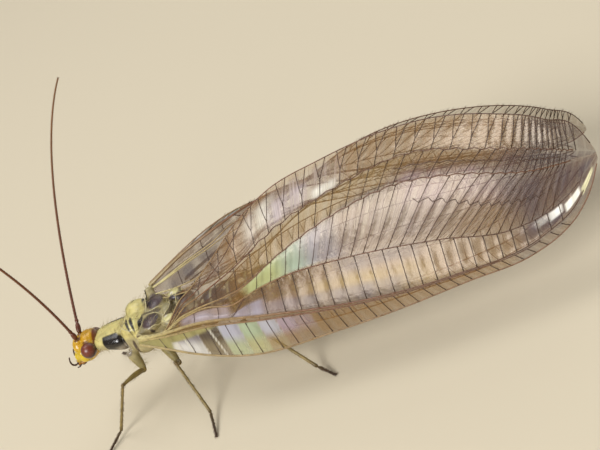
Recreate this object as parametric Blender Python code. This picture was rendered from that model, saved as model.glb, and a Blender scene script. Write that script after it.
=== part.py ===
"""Green lacewing at rest, life size, with one named solid for each part of its body.

Lengths in the named sizes are millimetres; MM turns them into metres where a mesh is made.
The insect faces -Y, its left side is +X, its back is +Z, and its feet stand on the plane Z = 0.
"""
import math

import bmesh
import bpy
import numpy as np
from mathutils import Matrix, Vector

MM = 0.001
GAP = 0.3              # clearance between neighbouring nodes
FLOOR = 0.0
LEFT, RIGHT = 1, -1
SIDES = (("left", LEFT), ("right", RIGHT))

# Wings: plan sizes are measured along (u) and across (v, towards the hind margin) each wing.
FOREWING_LENGTH = 21.17
WING_THICKNESS = 0.5
TIP_THICKNESS = 0.2
VEIN_RIDGE = 0.14       # how far a main vein stands out of the membrane
VEIN_FOOT = 0.15        # half the width of that ridge
HINDWING_START = 1.7    # how far behind the forewing's root the hindwing begins
HINDWING_INSET = 0.97   # distance from the forewing's middle surface to the hindwing's
# Each wing's root, angles in degrees, slope as (u, degrees) knots, and rise along and across.
WING_POSE = {
    "left": {"root": (1.75, 0, 4.15), "yaw": 3.6, "pitch": 2.2,
             "slope": ((0, 55), (FOREWING_LENGTH, 60)), "arch": (.5, .5)},
    "right": {"root": (1.66, 0, 4.28), "yaw": 7.0, "pitch": 8.7,
              "slope": ((0, 27), (5, 28), (11, 47), (FOREWING_LENGTH, 59)), "arch": (2.1, .47)},
}
# Each line runs from root to tip through its (u, v) points; the first and last are the margins.
FOREWING_LINES = {
    "costa": ((0, -.35), (1, -.72), (2.8, -1.45), (5.1, -2.08), (9.3, -2.08), (12, -1.92),
              (15, -1.62), (17.8, -1.33), (19, -.9), (19.9, -.31), (20.7, .63), (21.15, 1.45)),
    "radius": ((0, -.1), (1.2, -.17), (3.3, -.17), (6.6, -.65), (10.2, -1.11), (14.6, -1.21),
               (18.4, -.73), (19.9, .05), (21.15, 1.5)),
    "sector": ((0, .03), (3.3, .12), (4.9, -.1), (5.9, .34), (7.4, .63), (10.4, .68),
               (14.5, .28), (17.3, -.18), (19.6, .4), (21.15, 1.56)),
    "media": ((0, .14), (3.3, .4), (5.9, .75), (7.7, 1.52), (11, 2.55), (13.6, 2.87),
              (16, 2.5), (18.5, 1.8), (21.15, 1.63)),
    "cubitus": ((0, .26), (3.3, .8), (5.5, 1.55), (7.9, 2.64), (11.2, 3.53), (14.4, 3.87),
                (17, 3.18), (18.8, 2.6), (21.15, 1.72)),
    "hind": ((0, .42), (1.5, .62), (3.1, 1.16), (4.7, 2.2), (6.5, 3.5), (8.1, 4.28),
             (10.5, 4.75), (13.8, 5.04), (16, 4.85), (17.8, 4.35), (19.7, 3.5), (20.9, 2.5),
             (21.15, 1.8)),
}
HINDWING_LINES = {
    "costa": ((0, -.3), (1, -.55), (3, -1.15), (6, -1.5), (11, -1.5), (15, -1.15), (17.2, -.4),
              (18.3, .55), (18.75, 1.3)),
    "radius": ((0, -.12), (3, -.4), (8, -.85), (13, -.85), (16.5, -.15), (18.75, 1.35)),
    "sector": ((0, .06), (3, .2), (6, .45), (10, .5), (14, .3), (18.75, 1.42)),
    "cubitus": ((0, .2), (3, .7), (6, 1.6), (10, 2.1), (14, 1.9), (18.75, 1.5)),
    "hind": ((0, .34), (2, .7), (4, 1.7), (7, 2.6), (11, 3.0), (14, 2.9), (16.5, 2.4),
             (18.2, 1.9), (18.75, 1.6)),
}
HINDWING_LENGTH = 18.75
SECTOR_START = 4.9      # the radial sector leaves the radius here

# Trunk: (y, half width, lowest z, highest z) of each cross-section from front to rear.
PROTHORAX = ((-2.52, .56, 3.26, 3.98), (-2.28, .76, 3.10, 4.12), (-1.85, .94, 2.95, 4.20),
             (-1.35, 1.02, 2.85, 4.12))
MESOTHORAX = ((-1.05, .86, 2.78, 3.98), (-.70, 1.10, 2.62, 4.10), (0.0, 1.22, 2.50, 4.14),
              (.65, 1.16, 2.48, 4.08), (1.05, .98, 2.52, 3.92))
METATHORAX = ((1.37, .76, 2.52, 3.74), (1.8, .76, 2.50, 3.76), (2.25, .64, 2.56, 3.68))
ABDOMEN_START = 2.55
ABDOMEN_LENGTH = 7.3
ABDOMEN_SEGMENTS = 8
ABDOMEN_RADIUS = 0.86
SCUTAL_LOBE = {"at": (.52, .12, 3.98), "size": (.50, .56, .34)}
SHOULDER_LOBE = {"at": (.80, -.62, 3.95), "size": (.34, .34, .34)}
SCUTELLUM = {"at": (0, .75, 3.95), "size": (.42, .30, .26)}
WING_BASE = {"from": (0, 1.76, 3.05), "radius": .25}     # peg of the metathorax below a hindwing
METASCUTAL_LOBE = {"at": (.36, 1.78, 3.64), "size": (.30, .38, .24)}

# Head: laid out level, then tilted as one piece about its pivot.
HEAD_PIVOT = (0.0, -3.27, 3.57)
HEAD_TILT = {"roll": -9.5, "pitch": -6.5, "yaw": 3.0}
HEAD_CENTRE = (0.0, -3.50, 3.58)
HEAD_SIZE = (.84, .62, .66)
VERTEX = {"at": (0, -3.30, 3.94), "size": (.56, .40, .44)}
FACE = {"at": (0, -3.92, 3.16), "size": (.46, .42, .50)}
CLYPEUS = {"at": (0, -4.16, 3.02), "size": (.30, .26, .26)}
SOCKET_TOP = 4.25       # the antennal sockets rise to here
SOCKET_RADIUS = .26
EYE_CENTRE = (.70, -3.10, 3.80)
EYE_RADIUS = .46
EYE_FACE = .84          # the eye's flat inner face lies this far from the middle
MOUTH_TOP = 2.92
MOUTHPARTS = {"at": (0, -4.12, 2.49), "size": (.34, .28, .34)}
PALP_POINTS = ((.38, -4.68, 2.76), (.46, -4.65, 3.10), (.49, -4.55, 3.46))
PALP_RADII = (.16, .15, .10)

# Antennae: each root on the level head, tip in the finished pose, and bend.
ANTENNA_LENGTH = 13.7
ANTENNA_RADII = (.25, .25, .10)
ANTENNA = {
    "left": {"root": (.40, -3.60, 4.66), "end": (2.35, -7.7, 17.8), "bend": (-.5, .9, .2)},
    "right": {"root": (-.40, -3.60, 4.66), "end": (-12.0, -2.9, 11.4), "bend": (-.7, -.4, 1.0)},
}
ANTENNA_PIECES = ("scape", "lower", "upper")
ANTENNA_CUTS = (0.0, .062, .5, 1.0)

# Legs: joints from the body to the toe. The floor is Z = 0.
LEG_RADII = {"coxa": (.30, .26), "femur": (.27, .25), "tibia": (.25, .25), "tarsus": (.25, .14)}
LEG_JOINTS = {
    "fore_left": ((.95, -1.42, 2.68), (1.22, -1.02, 2.12), (2.7, -1.49, 2.69),
                  (2.58, -3.10, .36), (3.63, -3.75, .06)),
    "fore_right": ((-.95, -1.42, 2.68), (-1.25, -1.15, 2.10), (-2.7, -2.2, 2.75),
                   (-2.9, -3.7, .36), (-3.7, -4.5, .06)),
    "mid_left": ((.85, .35, 2.28), (1.15, .55, 1.75), (2.15, 1.0, 2.42),
                 (3.55, 1.75, .36), (4.85, 2.05, .06)),
    "mid_right": ((-.85, .35, 2.28), (-1.15, .50, 1.75), (-2.3, .6, 2.45),
                  (-3.9, .9, .36), (-5.2, 1.1, .06)),
    "hind_left": ((.70, 1.75, 2.30), (.95, 2.00, 1.66), (1.50, 4.6, 2.84),
                  (3.05, 6.95, .36), (3.6, 7.67, .06)),
    "hind_right": ((-.70, 1.75, 2.30), (-.95, 2.00, 1.66), (-1.65, 5.9, 2.82),
                   (-3.0, 10.3, .36), (-3.4, 11.9, .06)),
}
LEG_PIECES = ("coxa", "femur", "tibia", "tarsus")

MATERIALS = {           # linear base colour, roughness
    "head_yellow": ((.62, .33, .02), .45),
    "eye_red": ((.16, .025, .012), .12),
    "horn_brown": ((.10, .035, .012), .4),
    "dark_brown": ((.05, .02, .012), .3),
    "pale_yellow": ((.60, .53, .18), .45),
    "thorax_yellow": ((.42, .34, .12), .45),
    "abdomen_brown": ((.13, .09, .06), .45),
    "wing_membrane": ((.55, .50, .40), .15),
    "leg_green": ((.34, .31, .10), .45),
    "leg_brown": ((.22, .15, .06), .45),
}


def clear_scene():
    """Remove every object and its data."""
    for item in list(bpy.data.objects):
        bpy.data.objects.remove(item, do_unlink=True)


def make_materials():
    """One Principled material for each named finish."""
    made = {}
    for name, (colour, roughness) in MATERIALS.items():
        material = bpy.data.materials.new(name)
        material.use_nodes = True
        shader = material.node_tree.nodes["Principled BSDF"]
        shader.inputs["Base Color"].default_value = (*colour, 1.0)
        shader.inputs["Roughness"].default_value = roughness
        made[name] = material
    return made


def object_from_mesh(name, mesh):
    """A new object that is not yet in any collection."""
    return bpy.data.objects.new(name, mesh)


def object_from_faces(name, points, faces):
    """A closed mesh from points in millimetres, its faces turned outwards."""
    mesh = bpy.data.meshes.new(name)
    mesh.from_pydata([tuple(float(c) * MM for c in p) for p in points], [], faces)
    shape = bmesh.new()
    shape.from_mesh(mesh)
    bmesh.ops.recalc_face_normals(shape, faces=shape.faces)
    shape.to_mesh(mesh)
    shape.free()
    return object_from_mesh(name, mesh)


def ellipsoid(name, centre, size, segments=16, rings=10, pitch=0.0):
    """An ellipsoid with the given half sizes, tipped about X by pitch degrees."""
    shape = bmesh.new()
    place = (Matrix.Translation(Vector(centre) * MM)
             @ Matrix.Rotation(math.radians(pitch), 4, "X")
             @ Matrix.Diagonal((*(Vector(size) * MM), 1.0)))
    bmesh.ops.create_uvsphere(shape, u_segments=segments, v_segments=rings, radius=1.0,
                              matrix=place)
    mesh = bpy.data.meshes.new(name)
    shape.to_mesh(mesh)
    shape.free()
    return object_from_mesh(name, mesh)


def rod(name, start, end, radius, sides=16):
    """A straight cylinder between two points."""
    start, end = Vector(start), Vector(end)
    turn = (end - start).to_track_quat("Z", "Y").to_matrix().to_4x4()
    shape = bmesh.new()
    bmesh.ops.create_cone(shape, cap_ends=True, segments=sides, radius1=radius * MM,
                          radius2=radius * MM, depth=(end - start).length * MM,
                          matrix=Matrix.Translation((start + end) / 2 * MM) @ turn)
    mesh = bpy.data.meshes.new(name)
    shape.to_mesh(mesh)
    shape.free()
    return object_from_mesh(name, mesh)


def as_mesh(item, name):
    """The evaluated mesh of an object, as a new object, with coincident points welded."""
    scene = bpy.context.scene.collection
    scene.objects.link(item)
    bpy.context.view_layer.update()
    depsgraph = bpy.context.evaluated_depsgraph_get()
    mesh = bpy.data.meshes.new_from_object(item.evaluated_get(depsgraph))
    made = object_from_mesh(name, mesh)
    made.matrix_world = item.matrix_world.copy()
    bpy.data.objects.remove(item, do_unlink=True)
    shape = bmesh.new()
    shape.from_mesh(mesh)
    bmesh.ops.remove_doubles(shape, verts=shape.verts, dist=0.0000005)
    bmesh.ops.recalc_face_normals(shape, faces=shape.faces)
    shape.to_mesh(mesh)
    shape.free()
    mesh.materials.clear()
    return made


def tube(name, points, radii, sides=8):
    """A round tube through the points, with its own radius at each of them."""
    curve = bpy.data.curves.new(name, "CURVE")
    curve.dimensions = "3D"
    curve.bevel_depth = MM
    curve.bevel_resolution = sides // 2 - 2
    curve.use_fill_caps = True
    spline = curve.splines.new("POLY")
    spline.points.add(len(points) - 1)
    for knot, point, radius in zip(spline.points, points, radii):
        knot.co = (*(Vector(point) * MM), 1.0)
        knot.radius = radius
    return as_mesh(object_from_mesh(name, curve), name)


def loft(name, sections, sides=16, squareness=2.3):
    """A trunk piece: superellipse sections (y, half width, lowest z, highest z) in order."""
    turns = [2 * math.pi * k / sides for k in range(sides)]
    points = []
    for y, half_width, low, high in sections:
        middle, half_height = (low + high) / 2, (high - low) / 2
        for turn in turns:
            across, up = math.cos(turn), math.sin(turn)
            points.append((half_width * math.copysign(abs(across) ** (2 / squareness), across), y,
                           middle + half_height * math.copysign(abs(up) ** (2 / squareness), up)))
    faces = [tuple(range(sides)), tuple(range(len(points) - sides, len(points)))]
    for row in range(len(sections) - 1):
        for k in range(sides):
            after = (k + 1) % sides
            faces.append((row * sides + k, row * sides + after,
                          (row + 1) * sides + after, (row + 1) * sides + k))
    return object_from_faces(name, points, faces)


def fuse(item, others):
    """One closed body from several that overlap, by one Boolean union."""
    tools = bpy.data.collections.new("tools")
    bpy.context.scene.collection.children.link(tools)
    for other in others:
        tools.objects.link(other)
    boolean = item.modifiers.new("union", "BOOLEAN")
    boolean.operation = "UNION"
    boolean.operand_type = "COLLECTION"
    boolean.collection = tools
    joined = as_mesh(item, item.name)
    for other in list(tools.objects):
        bpy.data.objects.remove(other, do_unlink=True)
    bpy.data.collections.remove(tools)
    return keep_largest(joined)


def keep_largest(item):
    """Drop every closed surface of the item but the largest."""
    shape = bmesh.new()
    shape.from_mesh(item.data)
    shape.faces.ensure_lookup_table()
    seen = set()
    groups = []
    for seed in shape.faces:
        if seed.index in seen:
            continue
        group, waiting = [], [seed]
        seen.add(seed.index)
        while waiting:
            face = waiting.pop()
            group.append(face)
            for edge in face.edges:
                for near in edge.link_faces:
                    if near.index not in seen:
                        seen.add(near.index)
                        waiting.append(near)
        groups.append(group)
    groups.sort(key=lambda group: -sum(face.calc_area() for face in group))
    scrap = [face for group in groups[1:] for face in group]
    bmesh.ops.delete(shape, geom=scrap, context="FACES")
    shape.to_mesh(item.data)
    shape.free()
    return item


def slice_off(item, point, outward):
    """Cut off what lies outside the plane through a point, and close the cut."""
    shape = bmesh.new()
    shape.from_mesh(item.data)
    everything = shape.verts[:] + shape.edges[:] + shape.faces[:]
    sliced = bmesh.ops.bisect_plane(shape, geom=everything, plane_co=Vector(point) * MM,
                                    plane_no=Vector(outward), clear_outer=True)
    rim = [part for part in sliced["geom_cut"] if isinstance(part, bmesh.types.BMEdge)]
    bmesh.ops.holes_fill(shape, edges=rim)
    bmesh.ops.recalc_face_normals(shape, faces=shape.faces)
    shape.to_mesh(item.data)
    shape.free()
    return item


def place_node(item, name, material, collection, smooth=True):
    """Name a finished solid, give it its material and put it in the model's collection."""
    item.name = name
    item.data.name = name
    item.data.materials.clear()
    item.data.materials.append(material)
    if smooth:
        item.data.shade_smooth()
        item.data.set_sharp_from_angle(angle=math.radians(40))
    collection.objects.link(item)
    return item


def mirrored(point, side):
    """A point given for the left side, moved to the given side."""
    return (point[0] * side, point[1], point[2])


def both_sides(spec, name, **options):
    """The same ellipsoid on the left and on the right."""
    return [ellipsoid(f"{name}_{label}", mirrored(spec["at"], side), spec["size"], **options)
            for label, side in SIDES]


def smooth_line(knots, u):
    """Value at u of a smooth curve through (u, v) knots, with slopes taken from neighbours."""
    us, vs = np.array(knots, float).T
    slopes = np.gradient(vs, us)
    i = np.clip(np.searchsorted(us, u) - 1, 0, len(us) - 2)
    width = us[i + 1] - us[i]
    t = (u - us[i]) / width
    return ((2 * t**3 - 3 * t**2 + 1) * vs[i] + (t**3 - 2 * t**2 + t) * width * slopes[i]
            + (3 * t**2 - 2 * t**3) * vs[i + 1] + (t**3 - t**2) * width * slopes[i + 1])


def wing_frame(label, u):
    """Root and lengthwise step of a side's wings, and at each u the cross and outward directions.

    The step is a little under 1, so that an arched wing is as long as a flat one.
    """
    side = dict(SIDES)[label]
    pose = WING_POSE[label]
    yaw, pitch = math.radians(pose["yaw"]), math.radians(pose["pitch"])
    slope = np.radians(smooth_line(pose["slope"], np.clip(u, 0, FOREWING_LENGTH)))
    root = np.array(mirrored(pose["root"], side))
    along = np.array((side * math.cos(pitch) * math.sin(yaw), math.cos(pitch) * math.cos(yaw),
                      -math.sin(pitch)))
    across = np.stack((-side * np.cos(slope), 0 * slope, np.sin(slope)), axis=-1)
    across -= (across @ along)[..., None] * along
    across /= np.linalg.norm(across, axis=-1, keepdims=True)
    outward = np.cross(along, across)
    outward *= np.sign(outward[..., 2:])
    rise = pose["arch"][0] / FOREWING_LENGTH
    return root, along * (1 - 8 / 3 * rise**2), across, outward


def wing_arch(label, u, v):
    """How far the resting membrane bulges outwards at a place on the wing."""
    lengthwise, crosswise = WING_POSE[label]["arch"]
    s = np.clip(u / FOREWING_LENGTH, 0, 1)
    return (lengthwise * 4 * s * (1 - s)
            + crosswise * (1 - ((v - .6) / 3.7) ** 2) * np.sin(math.pi * s))


def wing_columns(lines, stations):
    """Positions across the wing and ridge heights, row by row, with three columns to a vein."""
    names = list(lines)
    across = np.array([smooth_line(lines[name], stations) for name in names])
    room = np.diff(across, axis=0)
    fade = np.clip((stations[-1] - stations) / 2.5, 0, 1)
    columns, heights = [], []
    for k, name in enumerate(names):
        before = room[k - 1] if k else np.full_like(stations, 9.0)
        after = room[k] if k < len(names) - 1 else np.full_like(stations, 9.0)
        foot = np.minimum(VEIN_FOOT, 0.3 * np.minimum(before, after))
        height = VEIN_RIDGE * fade * np.clip(foot / VEIN_FOOT, 0, 1)
        if name == "sector":
            height = height * np.clip((stations - SECTOR_START) / .8, 0, 1)
        if k:
            columns.append(across[k] - foot)
            heights.append(0 * height)
        columns.append(across[k])
        heights.append(height)
        if k < len(names) - 1:
            columns.append(across[k] + foot)
            heights.append(0 * height)
    return np.array(columns).T, np.array(heights).T


def wing(name, label, lines, length, rows, start=0.0, inset=0.0):
    """A wing as one closed sheet: an outer face with raised veins, an inner face and a rim."""
    ends = (1 - np.cos(np.linspace(0, math.pi, rows))) / 2
    stations = length * (.45 * np.linspace(0, 1, rows) + .55 * ends)
    stations = np.minimum(stations, length - .02)
    v, ridge = wing_columns(lines, stations)
    u = np.repeat(stations[:, None], v.shape[1], axis=1)
    tip = np.clip((u / length - .5) / .5, 0, 1)
    thickness = WING_THICKNESS + (TIP_THICKNESS - WING_THICKNESS) * tip
    root, along, across, outward = wing_frame(label, u + start)
    spot = root + (u + start)[..., None] * along + v[..., None] * across
    lift = wing_arch(label, u + start, v) - inset
    outer = spot + (lift + thickness / 2 + ridge)[..., None] * outward
    inner = spot + (lift - thickness / 2)[..., None] * outward
    count = v.shape[1]
    points = np.concatenate((outer.reshape(-1, 3), inner.reshape(-1, 3)))
    under = rows * count
    faces = []
    for i in range(rows - 1):
        for j in range(count - 1):
            a, b, c, d = i * count + j, i * count + j + 1, (i + 1) * count + j + 1, (i + 1) * count + j
            faces += [(a, b, c), (a, c, d), (under + a, under + c, under + b),
                      (under + a, under + d, under + c)]
    rim = ([j for j in range(count)] + [i * count + count - 1 for i in range(1, rows)]
           + [(rows - 1) * count + j for j in range(count - 2, -1, -1)]
           + [i * count for i in range(rows - 2, 0, -1)])
    for k, a in enumerate(rim):
        b = rim[(k + 1) % len(rim)]
        faces += [(a, b, under + b), (a, under + b, under + a)]
    return object_from_faces(name, points, faces)


def make_wings(materials, model):
    """Both pairs of wings; a hindwing lies under each forewing."""
    for label, _ in SIDES:
        place_node(wing("forewing", label, FOREWING_LINES, FOREWING_LENGTH, rows=30),
                   f"forewing_{label}", materials["wing_membrane"], model)
        place_node(wing("hindwing", label, HINDWING_LINES, HINDWING_LENGTH, rows=24,
                        start=HINDWING_START, inset=HINDWING_INSET),
                   f"hindwing_{label}", materials["wing_membrane"], model)


def hindwing_base(label):
    """The peg that points at a hindwing's root and ends a gap short of it."""
    root, along, _, outward = wing_frame(label, np.array([HINDWING_START]))
    lift = wing_arch(label, HINDWING_START, 0) - HINDWING_INSET - WING_THICKNESS / 2
    edge = root + HINDWING_START * along + lift * outward[0]
    start = Vector(WING_BASE["from"])
    inward = (start - Vector(edge)).normalized()
    end = Vector(edge) + inward * (GAP + WING_BASE["radius"])
    return rod(f"base_{label}", start, end, WING_BASE["radius"], sides=12)


def make_trunk(materials, model):
    """Prothorax, mesothorax and metathorax with their dorsal lobes."""
    prothorax = loft("prothorax", PROTHORAX)
    neck = rod("neck", (0, -2.60, 3.62), (0, -2.2, 3.62), .34)
    place_node(fuse(prothorax, [neck]), "prothorax", materials["pale_yellow"], model)
    lobes = both_sides(SCUTAL_LOBE, "scutum") + both_sides(SHOULDER_LOBE, "shoulder")
    lobes.append(ellipsoid("scutellum", SCUTELLUM["at"], SCUTELLUM["size"]))
    place_node(fuse(loft("mesothorax", MESOTHORAX), lobes), "mesothorax",
               materials["thorax_yellow"], model)
    knobs = both_sides(METASCUTAL_LOBE, "metascutum") + [hindwing_base(label) for label, _ in SIDES]
    place_node(fuse(loft("metathorax", METATHORAX), knobs), "metathorax",
               materials["thorax_yellow"], model)


def make_abdomen(materials, model):
    """A tapering row of rings, each a little wider at its hind edge."""
    sections = []
    step = ABDOMEN_LENGTH / ABDOMEN_SEGMENTS
    for ring in range(ABDOMEN_SEGMENTS):
        for part, swell in ((0.04, .93), (.5, .98), (.96, 1.0)):
            t = (ring + part) / ABDOMEN_SEGMENTS
            radius = ABDOMEN_RADIUS * swell * (.74 + .5 * math.sin(math.pi * min(t * 1.25, 1)) ** .8
                                               * .52 - .30 * t**3)
            middle = 3.12 + .9 * t - 1.25 * t**2
            sections.append((ABDOMEN_START + step * (ring + part), radius,
                             middle - radius * 1.02, middle + radius * .92))
    place_node(loft("abdomen", sections, sides=14, squareness=2.1), "abdomen",
               materials["abdomen_brown"], model)


def head_tilt():
    """The turn of the whole head: roll, then pitch, then yaw, about its pivot."""
    roll, pitch, yaw = (math.radians(HEAD_TILT[key]) for key in ("roll", "pitch", "yaw"))
    pivot = Matrix.Translation(Vector(HEAD_PIVOT) * MM)
    return (pivot @ Matrix.Rotation(yaw, 4, "Z") @ Matrix.Rotation(pitch, 4, "X")
            @ Matrix.Rotation(roll, 4, "Y") @ pivot.inverted())


def place_on_head(item, name, material, collection):
    """Tilt a finished piece of the level head and place it as a node."""
    item.data.transform(head_tilt())
    return place_node(item, name, material, collection)


def make_head(materials, model):
    """Head capsule with flat recesses for the eyes, the eyes, and the mouthparts."""
    capsule = ellipsoid("capsule", HEAD_CENTRE, HEAD_SIZE, segments=24, rings=14, pitch=-12)
    face = ellipsoid("face", FACE["at"], FACE["size"], segments=20, rings=12, pitch=20)
    clypeus = ellipsoid("clypeus", CLYPEUS["at"], CLYPEUS["size"], segments=14, rings=10)
    socket_places = [mirrored(ANTENNA["left"]["root"], side) for _, side in SIDES]
    sockets = [rod("socket", (x, y, HEAD_CENTRE[2]), (x, y, SOCKET_TOP), SOCKET_RADIUS)
               for x, y, _ in socket_places]
    vertex = ellipsoid("vertex", VERTEX["at"], VERTEX["size"], segments=20, rings=12)
    head = fuse(capsule, [face, clypeus, vertex] + sockets)
    head = slice_off(head, (0, 0, MOUTH_TOP), (0, 0, -1))
    for _, side in SIDES:
        head = slice_off(head, (side * (EYE_FACE - GAP), 0, 0), (side, 0, 0))
    place_on_head(head, "head", materials["head_yellow"], model)
    for label, side in SIDES:
        ball = ellipsoid("ball", mirrored(EYE_CENTRE, side), (EYE_RADIUS,) * 3, 18, 12)
        place_on_head(slice_off(ball, (side * EYE_FACE, 0, 0), (-side, 0, 0)), f"eye_{label}",
                      materials["eye_red"], model)
        points = [mirrored(point, side) for point in PALP_POINTS]
        place_on_head(tube("palp", points, PALP_RADII), f"palp_{label}",
                      materials["dark_brown"], model)
    mouth = ellipsoid("mouth", MOUTHPARTS["at"], MOUTHPARTS["size"], 14, 10)
    place_on_head(slice_off(mouth, (0, 0, MOUTH_TOP - GAP), (0, 0, 1)), "mouthparts",
                  materials["dark_brown"], model)


def antenna_point(spec, t):
    """A place along an antenna: from its root on the tilted head to its end, bowed by its bend."""
    root = np.array(head_tilt() @ (Vector(spec["root"]) * MM)) / MM
    end, bend = np.array(spec["end"]), np.array(spec["bend"])
    return root + (end - root) * t + bend * 4 * t * (1 - t)


def make_antennae(materials, model):
    """Each antenna in a few lengths, thinner towards its tip."""
    for label, _ in SIDES:
        spec = ANTENNA[label]
        for piece, start, end in zip(ANTENNA_PIECES, ANTENNA_CUTS, ANTENNA_CUTS[1:]):
            margin = GAP / 2 / ANTENNA_LENGTH
            knots = np.linspace(start + (margin if start else 0), end - (margin if end < 1 else 0),
                                2 + round((end - start) * 22))
            points = [antenna_point(spec, t) for t in knots]
            radii = np.interp(knots, (0, .06, 1), ANTENNA_RADII)
            place_node(tube(piece, points, radii), f"antenna_{label}_{piece}",
                       materials["horn_brown"], model)


def leg_piece(name, joints, k, radii):
    """The piece between joints k and k + 1, cut square to the bend at each of them."""
    ways = [(Vector(b) - Vector(a)).normalized() for a, b in zip(joints, joints[1:])]
    start, end, way = Vector(joints[k]), Vector(joints[k + 1]), ways[k]
    reach = 2.5 * max(radii)
    before = reach if k else 0
    after = reach if k + 1 < len(ways) else 0
    knots = (0, .3, .7, 1) if (end - start).length > 1.5 else (0, 1)
    points = [start - way * before] + [start.lerp(end, t) for t in knots] + [end + way * after]
    radii = [radii[0]] + [radii[0] + (radii[1] - radii[0]) * t for t in knots] + [radii[1]]
    if not before:
        points, radii = points[1:], radii[1:]
    if not after:
        points, radii = points[:-1], radii[:-1]
    shape = tube(name, points, radii)
    if before:
        square = (ways[k - 1] + way).normalized()
        shape = slice_off(shape, start + square * GAP / 2, -square)
    if after:
        square = (way + ways[k + 1]).normalized()
        shape = slice_off(shape, end - square * GAP / 2, square)
    return shape


def make_legs(materials, model):
    """Six legs of four pieces each; the tarsi stand on small flats at floor level."""
    for leg, joints in LEG_JOINTS.items():
        for k, piece in enumerate(LEG_PIECES):
            shape = leg_piece(piece, joints, k, LEG_RADII[piece])
            if piece == "tarsus":
                shape = slice_off(shape, (0, 0, FLOOR), (0, 0, -1))
            tone = "leg_brown" if piece == "tarsus" else "leg_green"
            place_node(shape, f"{piece}_{leg}", materials[tone], model)


def centre_on_floor(model):
    """Hang every node on one empty that brings the middle of their common box over the origin."""
    corners = np.array([item.matrix_world @ Vector(corner)
                        for item in model.objects for corner in item.bound_box])
    middle = (corners.min(axis=0) + corners.max(axis=0)) / 2
    stand = bpy.data.objects.new("stand", None)
    stand.location = (-middle[0], -middle[1], 0)
    for item in list(model.objects):
        item.parent = stand
    model.objects.link(stand)


def main():
    clear_scene()
    model = bpy.data.collections.new("lacewing")
    bpy.context.scene.collection.children.link(model)
    materials = make_materials()
    make_head(materials, model)
    make_antennae(materials, model)
    make_trunk(materials, model)
    make_abdomen(materials, model)
    make_wings(materials, model)
    make_legs(materials, model)
    centre_on_floor(model)


main()
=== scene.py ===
"""Lacewing at rest: the finished surfaces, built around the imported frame.

Lengths are millimetres in the insect's own frame: it faces -Y, its left is +X, up is +Z and the
floor is Z = 0. put_mesh turns them into metres in the model's frame.
"""

import math

import bpy
import numpy as np
from mathutils import Matrix, Vector


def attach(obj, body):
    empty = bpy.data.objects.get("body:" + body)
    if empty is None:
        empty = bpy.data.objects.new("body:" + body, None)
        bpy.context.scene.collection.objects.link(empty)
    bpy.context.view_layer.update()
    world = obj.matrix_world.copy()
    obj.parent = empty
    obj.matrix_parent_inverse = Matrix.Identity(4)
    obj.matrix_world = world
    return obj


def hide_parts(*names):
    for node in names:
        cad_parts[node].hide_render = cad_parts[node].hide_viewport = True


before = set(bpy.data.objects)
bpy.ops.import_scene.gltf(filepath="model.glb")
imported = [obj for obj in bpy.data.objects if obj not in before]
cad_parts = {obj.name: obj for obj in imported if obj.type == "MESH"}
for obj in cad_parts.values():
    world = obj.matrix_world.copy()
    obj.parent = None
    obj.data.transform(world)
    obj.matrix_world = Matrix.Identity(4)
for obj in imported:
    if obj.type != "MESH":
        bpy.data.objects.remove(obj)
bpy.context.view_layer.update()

MM = 0.001
STAND = np.array((3.5722, -6.6986, 0.0))    # the insect's frame in the model's frame
SIDES = {"left": 1, "right": -1}
TAU = 2 * math.pi

# Camera: where it looks, from which direction and how far away.
TARGET = np.array((0.0, 9.0, 3.5))
AZIMUTH, ELEVATION, ROLL = 111.3, 30.5, -32.5
DISTANCE = 56.5
PICTURE = (600, 450)
TARGET_PIXEL = (329.5, 252.9)
PIXELS_PER_MM = 23.48
SENSOR = 36.0

# Wings, laid out along (u) and across (v, towards the hind margin).
FOREWING_LENGTH = 21.17
HINDWING_LENGTH = 18.75
WING_POSE = {
    "left": {"root": (1.75, 0, 4.15), "yaw": 3.6, "pitch": 2.2,
             "slope": ((0, 55), (FOREWING_LENGTH, 60)), "arch": (.5, .5)},
    "right": {"root": (1.66, 0, 4.28), "yaw": 7.0, "pitch": 8.7,
              "slope": ((0, 14), (4.5, 14), (8, 31), (11, 47), (FOREWING_LENGTH, 59)),
              "arch": (2.1, .47)},
}
# The right wings' base drapes down over the back: depth in mm at the hind margin, by place.
DRAPE = {"left": ((0, 0), (FOREWING_LENGTH, 0)),
         "right": ((0, .4), (1.2, .90), (2.4, 1.20), (3.6, 1.32), (5.0, 1.10), (6.5, .62), (8.0, .30),
                   (9.5, .24), (16, .28), (18.5, .12), (FOREWING_LENGTH, 0))}
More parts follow.
